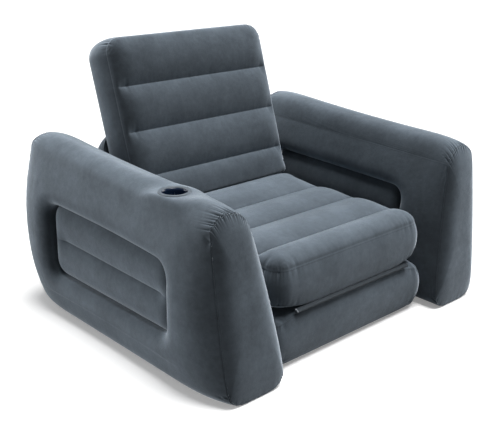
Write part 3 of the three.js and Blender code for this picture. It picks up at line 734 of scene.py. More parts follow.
def arm_outer_x(arm, y, z, puffed=True):
    """X of the right arm's outer face."""
    along = arm_share(arm, y, z)
    fill = arm_fill(arm, along)
    top = arm.shoulder_height + arm.rear_rise * along
    t = np.clip((z - arm.foot_height) / (top - arm.foot_height), 0, 1)
    spread = arm.foot_spread - arm.foot_draw_in * (1 - fill)
    swell = arm.side_swell * fill + (arm_puff(arm, along) if puffed else 0)
    drawn = arm_draw(arm, along) * (SEAM_DRAW_AT_FOOT + (1 - SEAM_DRAW_AT_FOOT) * t)
    return arm.outer_x + spread * (1 - t) + swell * bulge(t, SIDE_FULLNESS) - drawn


def arm_inner_x(arm, y, z, puffed=True):
    """X of the right arm's inner face."""
    along = arm_share(arm, y, z)
    fill = arm_fill(arm, along)
    top = arm.inner_seam_height + arm.inner_rise * along
    t = np.clip((z - arm.foot_height) / (top - arm.foot_height), 0, 1)
    swell = arm.inner_swell * fill + (arm_puff(arm, along) * INNER_PUFF if puffed else 0)
    return (arm.inner_foot_x + (arm.inner_seam_x - arm.inner_foot_x) * t
            - swell * bulge(t, SIDE_FULLNESS))


def arm_section(arm, along):
    """Closed section of the right arm, in X and Z: outer face up, crown, inner face down, foot."""
    fill = float(arm_fill(arm, np.array(along)))
    puff = float(arm_puff(arm, np.array(along)))
    foot = arm.foot_height
    t = np.arange(SIDE_STEPS) / SIDE_STEPS
    spread = arm.foot_spread - arm.foot_draw_in * (1 - fill)
    drawn = float(arm_draw(arm, np.array(along)))
    outer_top = np.array([arm.outer_x - drawn, arm.shoulder_height + arm.rear_rise * along])
    outer_foot = np.array([arm.outer_x + spread - drawn * SEAM_DRAW_AT_FOOT, foot])
    inner_top = np.array([arm.inner_seam_x, arm.inner_seam_height + arm.inner_rise * along])
    inner_foot = np.array([arm.inner_foot_x, foot])
    outer = outer_foot + (outer_top - outer_foot) * t[:, None]
    outer[:, 0] += (arm.side_swell * fill + puff) * bulge(t, SIDE_FULLNESS)
    inner = inner_top + (inner_foot - inner_top) * t[:, None]
    inner[:, 0] -= (arm.inner_swell * fill + puff * INNER_PUFF) * bulge(t, SIDE_FULLNESS)
    t = 0.5 - 0.5 * np.cos(np.pi * np.arange(CROWN_STEPS) / CROWN_STEPS)
    chord = inner_top - outer_top
    up = np.array([chord[1], -chord[0]]) / np.hypot(*chord)
    swell = arm.crown - arm.crown_draw_in * (1 - fill) + puff * CROWN_PUFF
    crown = outer_top + chord * t[:, None] + up * (swell * bulge(t, CROWN_FULLNESS))[:, None]
    t = 0.5 - 0.5 * np.cos(np.pi * np.arange(FOOT_STEPS) / FOOT_STEPS)
    under = inner_foot + (outer_foot - inner_foot) * t[:, None]
    under[:, 1] -= arm.foot_swell * bulge(t, FOOT_FULLNESS)
    section = np.concatenate([outer, crown, inner, under])
    count = len(section)
    soft = np.zeros(count)
    for corner, reach in ((0, 3.5), (SIDE_STEPS, 9.0), (SIDE_STEPS * 2 + CROWN_STEPS, 3.5)):
        gap = np.abs((np.arange(count) - corner + count // 2) % count - count // 2)
        soft = np.maximum(soft, np.exp(-(gap / reach) ** 2))
    before = section.copy()
    for _ in range(CORNER_ROUNDS):
        middle = (np.roll(section, 1, 0) + np.roll(section, -1, 0)) / 2
        section += soft[:, None] * 0.5 * (middle - section)
    lost = before - section
    section += lost * soft[:, None] * CORNER_GIVEN_BACK
    section[:, 1] = np.maximum(section[:, 1], 0)
    return section


def end_centre(arm, ring, at_rear):
    """Middle of an end ring, on the surface that its seam spans."""
    x, _, z = ring.mean(0)
    return np.array([x, arm_rear(arm, z) if at_rear else arm_front(arm, z), z])


def arm_ring(arm, along):
    section = arm_section(arm, along)
    front = arm_front(arm, section[:, 1])
    y = front + (arm_rear(arm, section[:, 1]) - front) * along
    return np.stack([section[:, 0], y, section[:, 1]], -1)


def run_along(ring):
    """Distance along a closed ring of points."""
    steps = np.linalg.norm(np.roll(ring, -1, 0) - ring, axis=1)
    return np.concatenate([[0], np.cumsum(steps)[:-1]])


def recess_path(recess, counts):
    """Points and outward directions round the recess, in Y and Z: front, top, rear, bottom sides.

    Each side starts and ends in the middle of a corner's arc."""
    r = recess.corner_radius
    tops = {recess.front: recess.top_front, recess.rear: recess.top_rear}
    slope = (recess.top_rear - recess.top_front) / (recess.rear - recess.front)
    centres = [
        (recess.front + r, recess.bottom + r),
        (recess.front + r, tops[recess.front] - r + slope * r),
        (recess.rear - r, tops[recess.rear] - r - slope * r),
        (recess.rear - r, recess.bottom + r),
    ]
    dense, marks = [], []
    for (y, z), start in zip(centres, (270, 180, 90, 0)):
        for degrees in np.linspace(start, start - 90, 17):
            if degrees == start - 45:
                marks.append(len(dense))
            angle = math.radians(degrees)
            dense.append((y + r * math.cos(angle), z + r * math.sin(angle)))
    dense = np.array(dense)
    points = []
    for i, count in enumerate(counts):
        stop = marks[i + 1] if i < 3 else marks[0] + len(dense)
        part = dense[np.arange(marks[i], stop + 1) % len(dense)]
        run = np.concatenate([[0], np.cumsum(np.linalg.norm(np.diff(part, axis=0), axis=1))])
        at = run[-1] * np.arange(count) / count
        points += list(zip(np.interp(at, run, part[:, 0]), np.interp(at, run, part[:, 1])))
    points = np.array(points)
    along = np.roll(points, -1, 0) - np.roll(points, 1, 0)
    out = np.stack([-along[:, 1], along[:, 0]], -1)
    return points, out / np.linalg.norm(out, axis=1, keepdims=True)


def arm_stations():
    """Shares of the arm's length, close together near its two end seams."""
    near = [0, 0.0012, 0.0045, 0.012, 0.018, 0.026, 0.036, 0.048, 0.062, 0.078, 0.096]
    middle = list(np.linspace(0.096, 0.904, 44)[1:-1])
    return np.array(near + middle + [1 - s for s in reversed(near)])


def arch_weight(z):
    """The end seams pucker most over the arch of the top and at the foot."""
    return np.clip(0.10 + (smoothstep(0.40, 0.50, z) + smoothstep(0.10, 0.02, z)), 0, 1)


def arm_skin(settings):
    """The right arm's air rim: a long inflated tube, drawn in at its ends, with a flared recess."""
    arm, recess = settings.arm, settings.recess
    stations = arm_stations()
    first, last = 10, len(stations) - 11
    rings = np.stack([arm_ring(arm, s) for s in stations])
    count = rings.shape[1]
    run = np.stack([run_along(r) for r in rings])
    points = [rings.reshape(-1, 3)]
    number = np.arange(len(stations) * count).reshape(len(stations), count)
    low, high = 3, SIDE_STEPS - 2
    inner_high = SIDE_STEPS + CROWN_STEPS + 2
    inner_low = inner_high + (high - low)
    walls = {1: (low, high), -1: (inner_low, inner_high)}
    keep = np.ones((len(stations) - 1, count), bool)
    for side, (a, b) in walls.items():
        keep[first:last, min(a, b):max(a, b)] = False
    closed = wrapped(number, 1)
    quads = strip_quads(closed).reshape(len(stations) - 1, count, 4)[keep]
    faces = [quads]
    spans = (high - low, last - first, high - low, last - first)
    path, out = recess_path(recess, spans)
    total = sum(spans)
    lips = [(recess.lip_reach * (1 - math.cos(a)), recess.lip * (1 - math.sin(a)))
            for a in np.radians(LIP_DEGREES)]
    size = len(points[0])
    ends = []

    def add_ring(x, yz, previous):
        """One more ring of points, joined to the ring before it."""
        nonlocal size
        points.append(np.column_stack([x, yz]))
        ring = size + np.arange(total)
        size += total
        faces.append(strip_quads(wrapped(np.stack([previous, ring]), 1)))
        return ring

    for side, (a, b) in walls.items():
        step = 1 if b > a else -1
        rows = np.arange(a, b + step, step)
        border = np.concatenate([
            number[first, rows[:-1]],
            number[first:last, rows[-1]],
            number[last, rows[:0:-1]],
            number[last:first:-1, rows[0]],
        ])
        edge = points[0][border]
        face = arm_outer_x if side > 0 else arm_inner_x
        off = edge[:, 0] - face(arm, edge[:, 1], edge[:, 2])
        previous = border
        start = path + out * lips[0][0] * 1.02
        for w in RECESS_STARTS:
            yz = edge[:, 1:] * (1 - w) + start * w
            x = face(arm, yz[:, 0], yz[:, 1]) + off * (1 - w) ** 2
            previous = add_ring(x, yz, previous)
        for grow, depth in lips + [(0.0, part) for part in RECESS_WALLS]:
            yz = path + out * grow
            x = face(arm, yz[:, 0], yz[:, 1]) - side * depth
            if grow == 0.0:
                rim = face(arm, yz[:, 0], yz[:, 1]) - side * recess.lip
                floor = face(arm, yz[:, 0], yz[:, 1], False) - side * recess.depth
                x = rim + (floor - rim) * depth
            previous = add_ring(x, yz, previous)
        if side < 0:
            added = len(RECESS_STARTS) + len(lips) + len(RECESS_WALLS)
            for i in range(len(faces) - added, len(faces)):
                faces[i] = faces[i][:, ::-1]
        ends.append(previous)
    faces.append(strip_quads(wrapped(np.stack(ends), 1)))
    points = np.concatenate(points)
    fans = []
    for ring, is_last in ((number[0], False), (number[-1], True)):
        centre = len(points)
        points = np.vstack([points, end_centre(arm, points[ring], is_last)])
        fans += fan(ring, centre, is_last)
    near_end = np.full(len(points), NO_SEAM)
    seam_run = np.zeros(len(points))
    tube = len(stations) * count
    share_of = np.repeat(stations, count)
    near_end[:tube] = np.minimum(share_of, 1 - share_of) * arm.length
    seam_run[:tube] = run.reshape(-1)
    long_seam = np.hypot(points[:, 0] - arm.inner_seam_x, points[:, 2] - arm.inner_seam_height
                         - arm.inner_rise * np.clip(points[:, 1] / arm.length, 0, 1))
    weight = arch_weight(points[:, 2])
    attributes = {
        "seam_distance": np.minimum(near_end, long_seam),
        "seam_run": seam_run,
        "pucker": np.where(near_end <= long_seam + 0.004, weight, 0.05),
    }
    points[:, 1] += FOLD.y
    return points, list(np.concatenate(faces)) + fans, attributes


def arm_end(settings, at_rear):
    """Domed end panel of the right arm, inside the end seam."""
    arm = settings.arm
    ring = arm_ring(arm, 1.0 if at_rear else 0.0)
    way = 1 if at_rear else -1
    middle = end_centre(arm, ring, at_rear)
    shares = [1, 0.996, 0.98, 0.955, 0.93, 0.895, 0.85, 0.79, 0.71, 0.61, 0.49, 0.36, 0.22, 0.1]
    rows = []
    for s in shares:
        row = middle + (ring - middle) * s
        row[:, 1] = (arm_rear if at_rear else arm_front)(arm, row[:, 2])
        row[:, 1] += way * (PANEL_GAP + arm.end_swell * (1 - s ** 4))
        row[:, 2] = np.maximum(row[:, 2], 0)
        rows.append(row)
    points = np.concatenate(rows)
    count = len(ring)
    number = np.arange(len(points)).reshape(len(shares), count)
    quads = list(strip_quads(wrapped(number, 1)))
    front, back = len(points), len(points) + 1
    tip = middle + np.array([0, way * (PANEL_GAP + arm.end_swell), 0])
    points = np.vstack([points, tip, middle + np.array([0, way * PANEL_GAP, 0])])
    quads += fan(number[-1], front, True) + fan(number[0], back)
    to_seam = np.linalg.norm(points[:-2] - np.tile(ring, (len(shares), 1)), axis=1)
    attributes = {
        "seam_distance": np.append(to_seam, [NO_SEAM] * 2),
        "seam_run": np.append(np.tile(run_along(ring), len(shares)), [0, 0]),
        "pucker": arch_weight(points[:, 2]),
    }
    points[:, 1] += FOLD.y
    return points, quads, attributes


def rounded_plan(x, u, a, b, radius):
    """Square grid points moved so that the grid's outline is a rounded rectangle."""
    p = np.clip((np.abs(x) - (a - radius)) / radius, 0, None)
    q = np.clip((np.abs(u) - (b - radius)) / radius, 0, None)
    both = (p > 0) & (q > 0)
    px = np.where(both, p * np.sqrt(np.clip(1 - q * q / 2, 0, None)), p)
    qx = np.where(both, q * np.sqrt(np.clip(1 - p * p / 2, 0, None)), q)
    new_x = np.sign(x) * np.where(p > 0, a - radius + radius * px, np.abs(x))
    new_u = np.sign(u) * np.where(q > 0, b - radius + radius * qx, np.abs(u))
    return new_x, new_u


def plan_edge(x, u, a, b, radius):
    """Depth inside a rounded rectangle, the run along its edge, and the way out of it."""
    qx, qu = np.abs(x) - (a - radius), np.abs(u) - (b - radius)
    corner = (qx > 0) & (qu > 0)
    depth = np.where(corner, radius - np.hypot(qx, qu), radius - np.maximum(qx, qu))
    angle = np.arctan2(np.maximum(qu, 0), np.maximum(qx, 1e-9))
    on_side = qx >= qu
    run = np.where(corner, (b - radius) + radius * angle, np.where(
        on_side, np.abs(u), (b - radius) + radius * math.pi / 2 + (a - radius) - np.abs(x)))
    run = run * np.sign(u + 1e-12) + np.where(x < 0, 10.0, 0.0)
    out_x = np.where(corner, np.cos(angle), on_side * 1.0) * np.sign(x)
    out_u = np.where(corner, np.sin(angle), (~on_side) * 1.0) * np.sign(u)
    return depth, run, out_x, out_u


def edge_rise(depth, run):
    return np.sqrt(np.clip(1 - (1 - np.clip(depth / run, 0, 1)) ** 2, 0, 1))


def arm_web(settings):
    """Two lengthwise channels that fill the right arm's recess, with an outer and an inner face."""
    arm, recess, cushion = settings.arm, settings.recess, settings.cushion
    inset = 0.0004
    b = (recess.rear - recess.front) / 2 - inset
    a = (recess.top_front - recess.bottom) / 2 - inset
    fine, coarse = cushion.grid_fine, cushion.grid_coarse
    lines_z = graded_lines([-a, 0, a], fine, coarse * 0.7)
    lines_y = graded_lines([-b, b], fine, coarse)
    ijk, quads = box_grid(len(lines_z), len(lines_y), 3)
    zl, yl = rounded_plan(lines_z[ijk[:, 0]], lines_y[ijk[:, 1]], a, b, recess.corner_radius)
    depth, run, _, _ = plan_edge(zl, yl, a, b, recess.corner_radius)
    y = (recess.front + recess.rear) / 2 + yl
    part = (y - recess.front) / (recess.rear - recess.front)
    top = recess.top_front + (recess.top_rear - recess.top_front) * part
    half = (top - recess.bottom) / 2
    z = (top + recess.bottom) / 2 + zl * half / (a + inset)
    fade = smoothstep(0.0, 0.075, b - np.abs(yl))
    valley = np.abs(np.abs(zl) / a * 2 - 1) ** 2 * (np.abs(zl) < a / 2)
    height = edge_rise(depth, 0.048) * (1 - 0.52 * valley * fade)
    weld = np.exp(-(zl / cushion.weld_width) ** 2) * smoothstep(0.03, 0.07, b - np.abs(yl))
    height = height * 1.02 - weld * cushion.weld_depth / recess.crown
    layer = ijk[:, 2] - 1
    outer = arm_outer_x(arm, y, z, False) - recess.depth + recess.crown * height
    inner = arm_inner_x(arm, y, z, False) + recess.depth - recess.crown * height
    x = np.where(layer > 0, outer, np.where(layer < 0, inner, (outer + inner) / 2))
    to_weld = np.where(b - np.abs(yl) > 0.05, np.abs(zl), NO_SEAM)
    attributes = {
        "seam_distance": np.minimum(to_weld, np.maximum(depth, 0)) + CHANNEL_SEAM_OFFSET,
        "seam_run": np.where(to_weld < depth, yl, run),
        "pucker": np.where(to_weld < depth, 0.10, 0.35),
    }
    return np.column_stack([x, y + FOLD.y, z]), list(quads), attributes


def web_sheet(settings):
    """The flat beam along the right web's middle seam, just under its skin."""
    arm, recess, cushion = settings.arm, settings.recess, settings.cushion
    inset = 0.085
    y = np.linspace(recess.front + inset, recess.rear - inset, 24)
    part = (y - recess.front) / (recess.rear - recess.front)
    z = (recess.bottom + recess.top_front + (recess.top_rear - recess.top_front) * part) / 2
    reach = recess.crown * 0.48 - cushion.weld_depth - 0.0015 - recess.depth
    outer = arm_outer_x(arm, y, z, False) + reach
    inner = arm_inner_x(arm, y, z, False) - reach
    thick = settings.fitting.web_thickness / 2
    sides = [(outer, z + thick), (outer, z - thick), (inner, z - thick), (inner, z + thick)]
    points = np.stack([np.column_stack([x, y + FOLD.y, h]) for x, h in sides], 1)
    number = np.arange(len(y) * 4).reshape(len(y), 4)
    faces = list(strip_quads(wrapped(number, 1)))
    return points.reshape(-1, 3), faces + [tuple(number[0]), tuple(number[-1][::-1])]


def arm_top_height(settings, x, y):
    """Height of the left or right arm's rounded top at a place, y from the front fold."""
    arm = settings.arm
    section = arm_section(arm, float(np.clip(y / arm.length, 0, 1)))
    top = section[SIDE_STEPS - 4:SIDE_STEPS + CROWN_STEPS + 1]
    return float(np.interp(abs(x), top[::-1, 0], top[::-1, 1]))


def cup_level(settings):
    """Height of the flat spot round the cup, which the welded ring keeps level."""
    fit = settings.fitting
    around = [i * math.pi / 4 for i in range(8)]
    reach = fit.cup_radius + fit.ring_width
    return sum(arm_top_height(settings, fit.cup_x + reach * math.cos(a),
                              fit.cup_y + reach * math.sin(a)) for a in around) / 8


def level_cup_place(settings, points):
    """Draws the left arm's top level round the cup."""
    fit = settings.fitting
    away = np.hypot(points[:, 0] - fit.cup_x, points[:, 1] - FOLD.y - fit.cup_y)
    level = 1 - smoothstep(fit.cup_radius + fit.ring_width, 0.120, away)
    level *= smoothstep(cup_level(settings) - 0.060, cup_level(settings) - 0.015, points[:, 2])
    points[:, 2] += (cup_level(settings) - points[:, 2]) * level
    return points


class CHAIR_OT_arms(bpy.types.Operator):
    """Builds the two arms: air rims, channelled webs and domed end panels"""

    bl_idname = "chair_bed.arms"
    bl_label = "Arms"

    def execute(self, context):
        settings = context.scene.chair_bed
        flock = materials(settings)["Flocked Slate"]
        film = materials(settings)["Beam Film"]
        for side in ("right", "left"):
            place = (lambda p: p) if side == "right" else mirrored
            points, faces, attributes = arm_skin(settings)
            points = place(points)
            if side == "left":
                points = level_cup_place(settings, points)
            rim = mesh_object(f"{side}_arm_skin", points, faces, attributes)
            cutter = None
            if side == "left":
                fit = settings.fitting
                low, high = fit.cup_floor - CUP_WELL_ROOM, CUP_WELL_TOP
                radius = fit.cup_radius + CUP_WELL_ROOM
                well = [(ON_AXIS, low), (radius, low), (radius, high), (ON_AXIS, high)]
                cutter = turned("cup_well", well, (fit.cup_x, fit.cup_y + FOLD.y, 0), (0, 0, 1))
            seed = 3.0 if side == "right" else 11.0
            puckered(rim, flock, "arm rim", seed, cutter)
            finished(rim, "frame", [f"{side}_arm_rim"], flock)
            points, faces, attributes = arm_web(settings)
            web = mesh_object(f"{side}_arm_web_skin", place(points), faces, attributes)
            puckered(web, flock, "arm web", 5.0)
            finished(web, "frame", [f"{side}_arm_web"], flock)
            points, faces = web_sheet(settings)
            sheet = mesh_object(f"{side}_arm_web_sheet", place(points), faces)
            finished(sheet, "frame", [f"{side}_arm_web_beam"], film)
            for end in ("front", "rear"):
                points, faces, attributes = arm_end(settings, end == "rear")
                panel = mesh_object(f"{side}_arm_{end}_panel", place(points), faces, attributes)
                has_valve = side == "right" and end == "rear"
                cutter = valve_pocket("frame") if has_valve else None
                puckered(panel, flock, "arm end", seed, cutter)
                finished(panel, "frame", [f"{side}_arm_{end}_cap"], flock)
        return {"FINISHED"}


def valve_pocket(prefix):
    """Round pocket behind a valve's flange, a hair wider than the flange."""
    low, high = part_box(f"{prefix}_valve_flange")
    middle = (low + high) / 2
    axis = Vector((0, 1, 0)) if prefix == "frame" else Vector((1, 0, 0))
    along = 1 if prefix == "frame" else 0
    wide = (high[2] - low[2]) / 2 + POCKET_ROOM
    deep = high[along] - low[along]
    origin = middle.copy()
    origin[along] = low[along]
    profile = [(ON_AXIS, NECK_HOLE_BACK), (NECK_HOLE_RADIUS, NECK_HOLE_BACK),
               (NECK_HOLE_RADIUS, deep - FLANGE_SEAT), (wide, deep - FLANGE_SEAT),
               (wide, deep + POCKET_REACH), (ON_AXIS, deep + POCKET_REACH)]
    return turned(f"{prefix}_pocket", profile, origin, axis)


# Cushions

CUSHIONS = {
    "seat": dict(half_width=0.318, side_swell=0.012, corner=0.046, start=0.012, end=0.609,
                 seams=(0.125, 0.292, 0.459), top=(0.304, 0.3445), bottom=(0.179, 0.1722),
                 band=0.011, lift=(1, 0), runs=(0.078, 0.012), rear_lift=0.008),
    "backrest": dict(half_width=0.328, side_swell=0.014, corner=0.056, start=0.006, end=0.564,
                     seams=(0.109, 0.257, 0.405), top=(-0.020, 0.0145),
                     bottom=(-0.130, -0.1462), band=0.006, lift=(0, 0), runs=(0.009, 0.070),
                     rear_lift=0.0, foot_corner=0.022),
    "base": dict(half_width=0.330, side_swell=0.022, corner=0.030, start=0.012, end=0.930,
                 seams=(0.165, 0.318, 0.471, 0.624, 0.777), top=(0.165, 0.1718),
                 bottom=(0.026, -0.0005), band=0.011, lift=(0, 1), runs=(0.050, 0.050), rear_lift=0.0),
}


# How far from a corner or an edge each of these reaches
CORNER_BEND_REACH, CORNER_LIFT_REACH, CORNER_PUCKER_REACH = 0.075, 0.05, 0.07
REAR_LIFT_REACH, SIDE_RUN_REACH = 0.06, 0.02
# How far the channel seams pull up the underside, and how full channels and side bands are
BOTTOM_DIP, CHANNEL_FULLNESS, BAND_FULLNESS = 0.45, 2.2, 2.2


def cushion_skin(settings, spec, coarse_scale=1.0):
    """A channelled cushion in its own frame: x across, u along it and w through it."""
    c = settings.cushion
    fine, coarse = c.grid_fine * coarse_scale, c.grid_coarse * coarse_scale
    a, b = spec["half_width"], (spec["end"] - spec["start"]) / 2
    foot_corner = spec.get("foot_corner", spec["corner"])
    middle = (spec["end"] + spec["start"]) / 2
    seams = [s - middle for s in spec["seams"]]
    lines_x = graded_lines([-a, a], fine, coarse)
    lines_u = graded_lines([-b, *seams, b], fine, coarse)
    rows = 0.5 - 0.5 * np.cos(np.pi * np.arange(13) / 12)
    ijk, quads = box_grid(len(lines_x), len(lines_u), len(rows))
    corners = np.where(lines_u[ijk[:, 1]] < 0, foot_corner, spec["corner"])
    x, u = rounded_plan(lines_x[ijk[:, 0]], lines_u[ijk[:, 1]], a, b, corners)
    depth, run, out_x, out_u = plan_edge(x, u, a, b, corners)
    depth = np.maximum(depth, 0)
    part = rows[ijk[:, 2]]
    is_top, is_bottom = ijk[:, 2] == len(rows) - 1, ijk[:, 2] == 0
    stops = [-b, *seams, b]
    valley = np.zeros(len(u))
    to_seam = np.full(len(u), NO_SEAM)
    for low, high in zip(stops, stops[1:]):
        t = (u - low) / (high - low)
        inside = (t >= 0) & (t <= 1)
        curve = np.abs(2 * t - 1) ** CHANNEL_FULLNESS
        if low == -b:
            curve = np.where(t < 0.5, 0, curve)
        if high == b:
            curve = np.where(t > 0.5, 0, curve)
        valley = np.where(inside, curve, valley)
    for s in seams:
        to_seam = np.minimum(to_seam, np.abs(u - s))
    short = a - np.abs(x)
    fade = smoothstep(-0.004, 0.030, short)
    weld = np.exp(-(to_seam / c.weld_width) ** 2) * smoothstep(0.012, 0.022, short)
    top_seam, top_crest = spec["top"]
    low_seam, low_crest = spec["bottom"]
    near = np.exp(-np.stack([a - np.abs(x), u + b, b - u]) / SIDE_RUN_REACH)
    runs = np.array([c.side_run, *spec["runs"]])[:, None]
    rise = edge_rise(depth, (near * runs).sum(0) / near.sum(0))
    top = top_seam + (top_crest - top_seam) * rise * (1 - c.channel_dip * valley * fade)
    top += spec["rear_lift"] * rise * np.exp(-((b - u) / REAR_LIFT_REACH) ** 2)
    top -= weld * c.weld_depth
    bottom = low_seam + (low_crest - low_seam) * rise * (1 - BOTTOM_DIP * valley * fade)
    bend = (np.exp(-((a - np.abs(x)) / CORNER_BEND_REACH) ** 2)
            * np.exp(-((u + b) / CORNER_BEND_REACH) ** 2))
    lift = c.corner_lift * bend
    top_seam = top_seam - lift * spec["lift"][1]
    top = top - lift * spec["lift"][1] * np.exp(-depth / CORNER_LIFT_REACH)
    low_seam = low_seam + lift * spec["lift"][0]
    bottom = bottom + lift * spec["lift"][0] * np.exp(-depth / CORNER_LIFT_REACH)
    band = low_seam + (top_seam - low_seam) * part
    w = np.where(is_top, top, np.where(is_bottom, bottom, band))
    swell = np.where(is_top | is_bottom, 0, bulge(part, BAND_FULLNESS))
    x = x + out_x * spec["side_swell"] * swell
    u = u + out_u * spec["band"] * swell
    to_edge = np.where(is_top | is_bottom, depth,
                       np.minimum(part, 1 - part) * (top_seam - low_seam))
    from_corner = np.hypot(np.maximum(a - np.abs(x), 0), np.maximum(b - np.abs(u), 0))
    corner = np.exp(-(from_corner / CORNER_PUCKER_REACH) ** 2)
    on_channel = (to_seam < to_edge) & (is_top | is_bottom) & (short > 0.014)
    seam_ends = np.exp(-((short - 0.03) / 0.02) ** 2)
    attributes = {
        "free": np.where(is_top, smoothstep(0.002, 0.014, np.minimum(depth, to_seam)), 0.0),
        "seam_distance": np.where(on_channel, to_seam + CHANNEL_SEAM_OFFSET, to_edge),
        "seam_run": np.where(on_channel, x + 20, run),
        "pucker": np.where(on_channel, 0.10 + 0.25 * seam_ends, 0.05 + 0.95 * corner),
    }
    return np.column_stack([x, u + middle, w]), list(quads), attributes


def back_lean():
    """Angle at which the backrest stands at rest, as the fold's own range has it."""
    return math.radians(abs(JOINTS["backrest_unfold"]["range_deg"][0]))


def back_place(points):
    """Backrest frame to row frame: it leans on the back fold."""
    turn = back_lean()
    u, w = points[:, 1], points[:, 2]
    return np.column_stack([
        points[:, 0],
        BACK_FOLD.y + u * math.cos(turn) - w * math.sin(turn),
        BACK_FOLD.z + u * math.sin(turn) + w * math.cos(turn),
    ])


class CHAIR_OT_cushions(bpy.types.Operator):
    """Builds the seat, the backrest and the base under them"""

    bl_idname = "chair_bed.cushions"
    bl_label = "Cushions"

    def execute(self, context):
        settings = context.scene.chair_bed
        flock = materials(settings)["Flocked Slate"]
        for name, body, seed in (("seat", "seat", 2.0), ("backrest", "backrest", 6.0),
                                 ("base", "frame", 9.0)):
            coarse = 1.7 if name == "base" else 1.0
            points, faces, attributes = cushion_skin(settings, CUSHIONS[name], coarse)
            if name == "backrest":
                points = back_place(points)
            else:
                points[:, 1] += FOLD.y
            if name == "base":
                limit = arm_inner_x(settings.arm, points[:, 1] - FOLD.y, points[:, 2]) - 0.0005
                points[:, 0] = np.clip(points[:, 0], -limit, limit)
                points[:, 2] = np.maximum(points[:, 2], 0)
            free = attributes.pop("free")
            skin = mesh_object(f"{name}_skin", points, faces, attributes)
            if name != "base":
                inflated(skin, free, settings.cushion.air_cap)
            cutter = valve_pocket("bed") if name == "backrest" else None
            puckered(skin, flock, "cushion", seed, cutter)
            finished(skin, body, [f"{name}_cushion"], flock)
        return {"FINISHED"}


# The bolster's heights, its depth from the front fold, and its gap to the backrest
BOLSTER_FOOT, BOLSTER_SHOULDER, BOLSTER_TOP = 0.186, 0.452, 0.548
BOLSTER_REAR, BOLSTER_GAP = 0.930, 0.0004
# Half its length, and the radius and angles of its rounded ends
BOLSTER_HALF, BOLSTER_RADIUS = 0.326, 0.034
BOLSTER_END_DEGREES = (84, 76, 66, 54, 40, 26, 12, 0)
# Swell, fullness and steps of its four sides: foot, rear, top and front
BOLSTER_SIDES = ((0.0152, 4.0, 22), (0.014, 2.5, 26), (0.012, 2.0, 24), (0.0, 2.0, 26))


class CHAIR_OT_bolster(bpy.types.Operator):
    """Builds the bolster behind the backrest"""

    bl_idname = "chair_bed.bolster"
    bl_label = "Rear Bolster"

    def execute(self, context):
        settings = context.scene.chair_bed
        flock = materials(settings)["Flocked Slate"]
        lean = back_lean()
        plane = CUSHIONS["backrest"]["bottom"][1] - BOLSTER_GAP

        def front(z):
            along = (z - BACK_FOLD.z - plane * math.cos(lean)) / math.sin(lean)
            return BACK_FOLD.y + along * math.cos(lean) - plane * math.sin(lean)

        rear = BOLSTER_REAR + FOLD.y
        corners = np.array([
            (front(BOLSTER_FOOT), BOLSTER_FOOT),
            (rear, BOLSTER_FOOT),
            (rear, BOLSTER_SHOULDER),
            (front(BOLSTER_TOP), BOLSTER_TOP),
        ])
        outline, corner_at = [], []
        for i, (swell, fullness, steps) in enumerate(BOLSTER_SIDES):
            start, chord = corners[i], corners[(i + 1) % 4] - corners[i]
            out = np.array([chord[1], -chord[0]]) / np.hypot(*chord)
            corner_at.append(len(outline))
            for t in 0.5 - 0.5 * np.cos(np.pi * np.arange(steps) / steps):
                outline.append(start + chord * t + out * swell * bulge(t, fullness))
        outline = np.array(outline)
        centre = corners.mean(0)
        run = run_along(outline)
        half, radius = BOLSTER_HALF, BOLSTER_RADIUS
        reach = (rear - corners[0][0]) / 2
        xs = [(half - radius * (1 - math.sin(math.radians(d))),
               1 - radius * (1 - math.cos(math.radians(d))) / reach) for d in BOLSTER_END_DEGREES]
        inner = [(x, 1.0) for x in np.linspace(xs[-1][0], 0, 20)[1:]]
        right = xs + inner
        rings = [(-x, s) for x, s in right] + [(x, s) for x, s in reversed(right[:-1])]
        rows = [np.column_stack([np.full(len(outline), x), centre + (outline - centre) * s])
                for x, s in rings]
        points = np.concatenate(rows)
        number = np.arange(len(points)).reshape(len(rings), -1)
        faces = list(strip_quads(wrapped(number, 1)))
        for ring, x, is_last in ((number[0], -half, False), (number[-1], half, True)):
            tip = len(points)
            points = np.vstack([points, [x, *centre]])
            faces += fan(ring, tip, is_last)
        to_end = np.append(np.repeat([half - abs(x) for x, _ in rings], len(outline)), [NO_SEAM] * 2)
        gaps = [np.abs(outline - outline[c]).sum(1) for c in corner_at]
        to_corner = np.append(np.tile(np.min(gaps, 0), len(rings)), [NO_SEAM] * 2)
        attributes = {
            "seam_distance": np.minimum(to_end, to_corner) + 0.004,
            "seam_run": np.append(np.tile(run, len(rings)), [0, 0]),
            "pucker": np.where(to_end < 0.06, 0.5, 0.0),
        }
        skin = mesh_object("rear_bolster_skin", points, faces, attributes)
        puckered(skin, flock, "bolster", 4.0)
        finished(skin, "frame", ["rear_bolster"], flock)
        return {"FINISHED"}


# Fittings

# How far the front strip stands before the cushions' edges, and bows out between them
STRIP_STAND_OFF, STRIP_BULGE = 0.0008, 0.0105


def folded_strip(name, section, half_length, thickness):
    """A thin strip along X that follows a list of (y, z) points."""
    section = np.array(section)
    along = np.gradient(section, axis=0)
    out = np.stack([along[:, 1], -along[:, 0]], -1)
    out /= np.linalg.norm(out, axis=1, keepdims=True)
    loop = np.concatenate([section + out * thickness / 2, (section - out * thickness / 2)[::-1]])
    xs = graded_lines([-half_length, half_length], 0.003, 0.02)
    points = np.concatenate([np.column_stack([np.full(len(loop), x), loop]) for x in xs])
    number = np.arange(len(points)).reshape(len(xs), -1)
    faces = list(strip_quads(wrapped(number, 1)))
    faces += [tuple(number[0]), tuple(number[-1][::-1])]
    return mesh_object(name, points, faces)


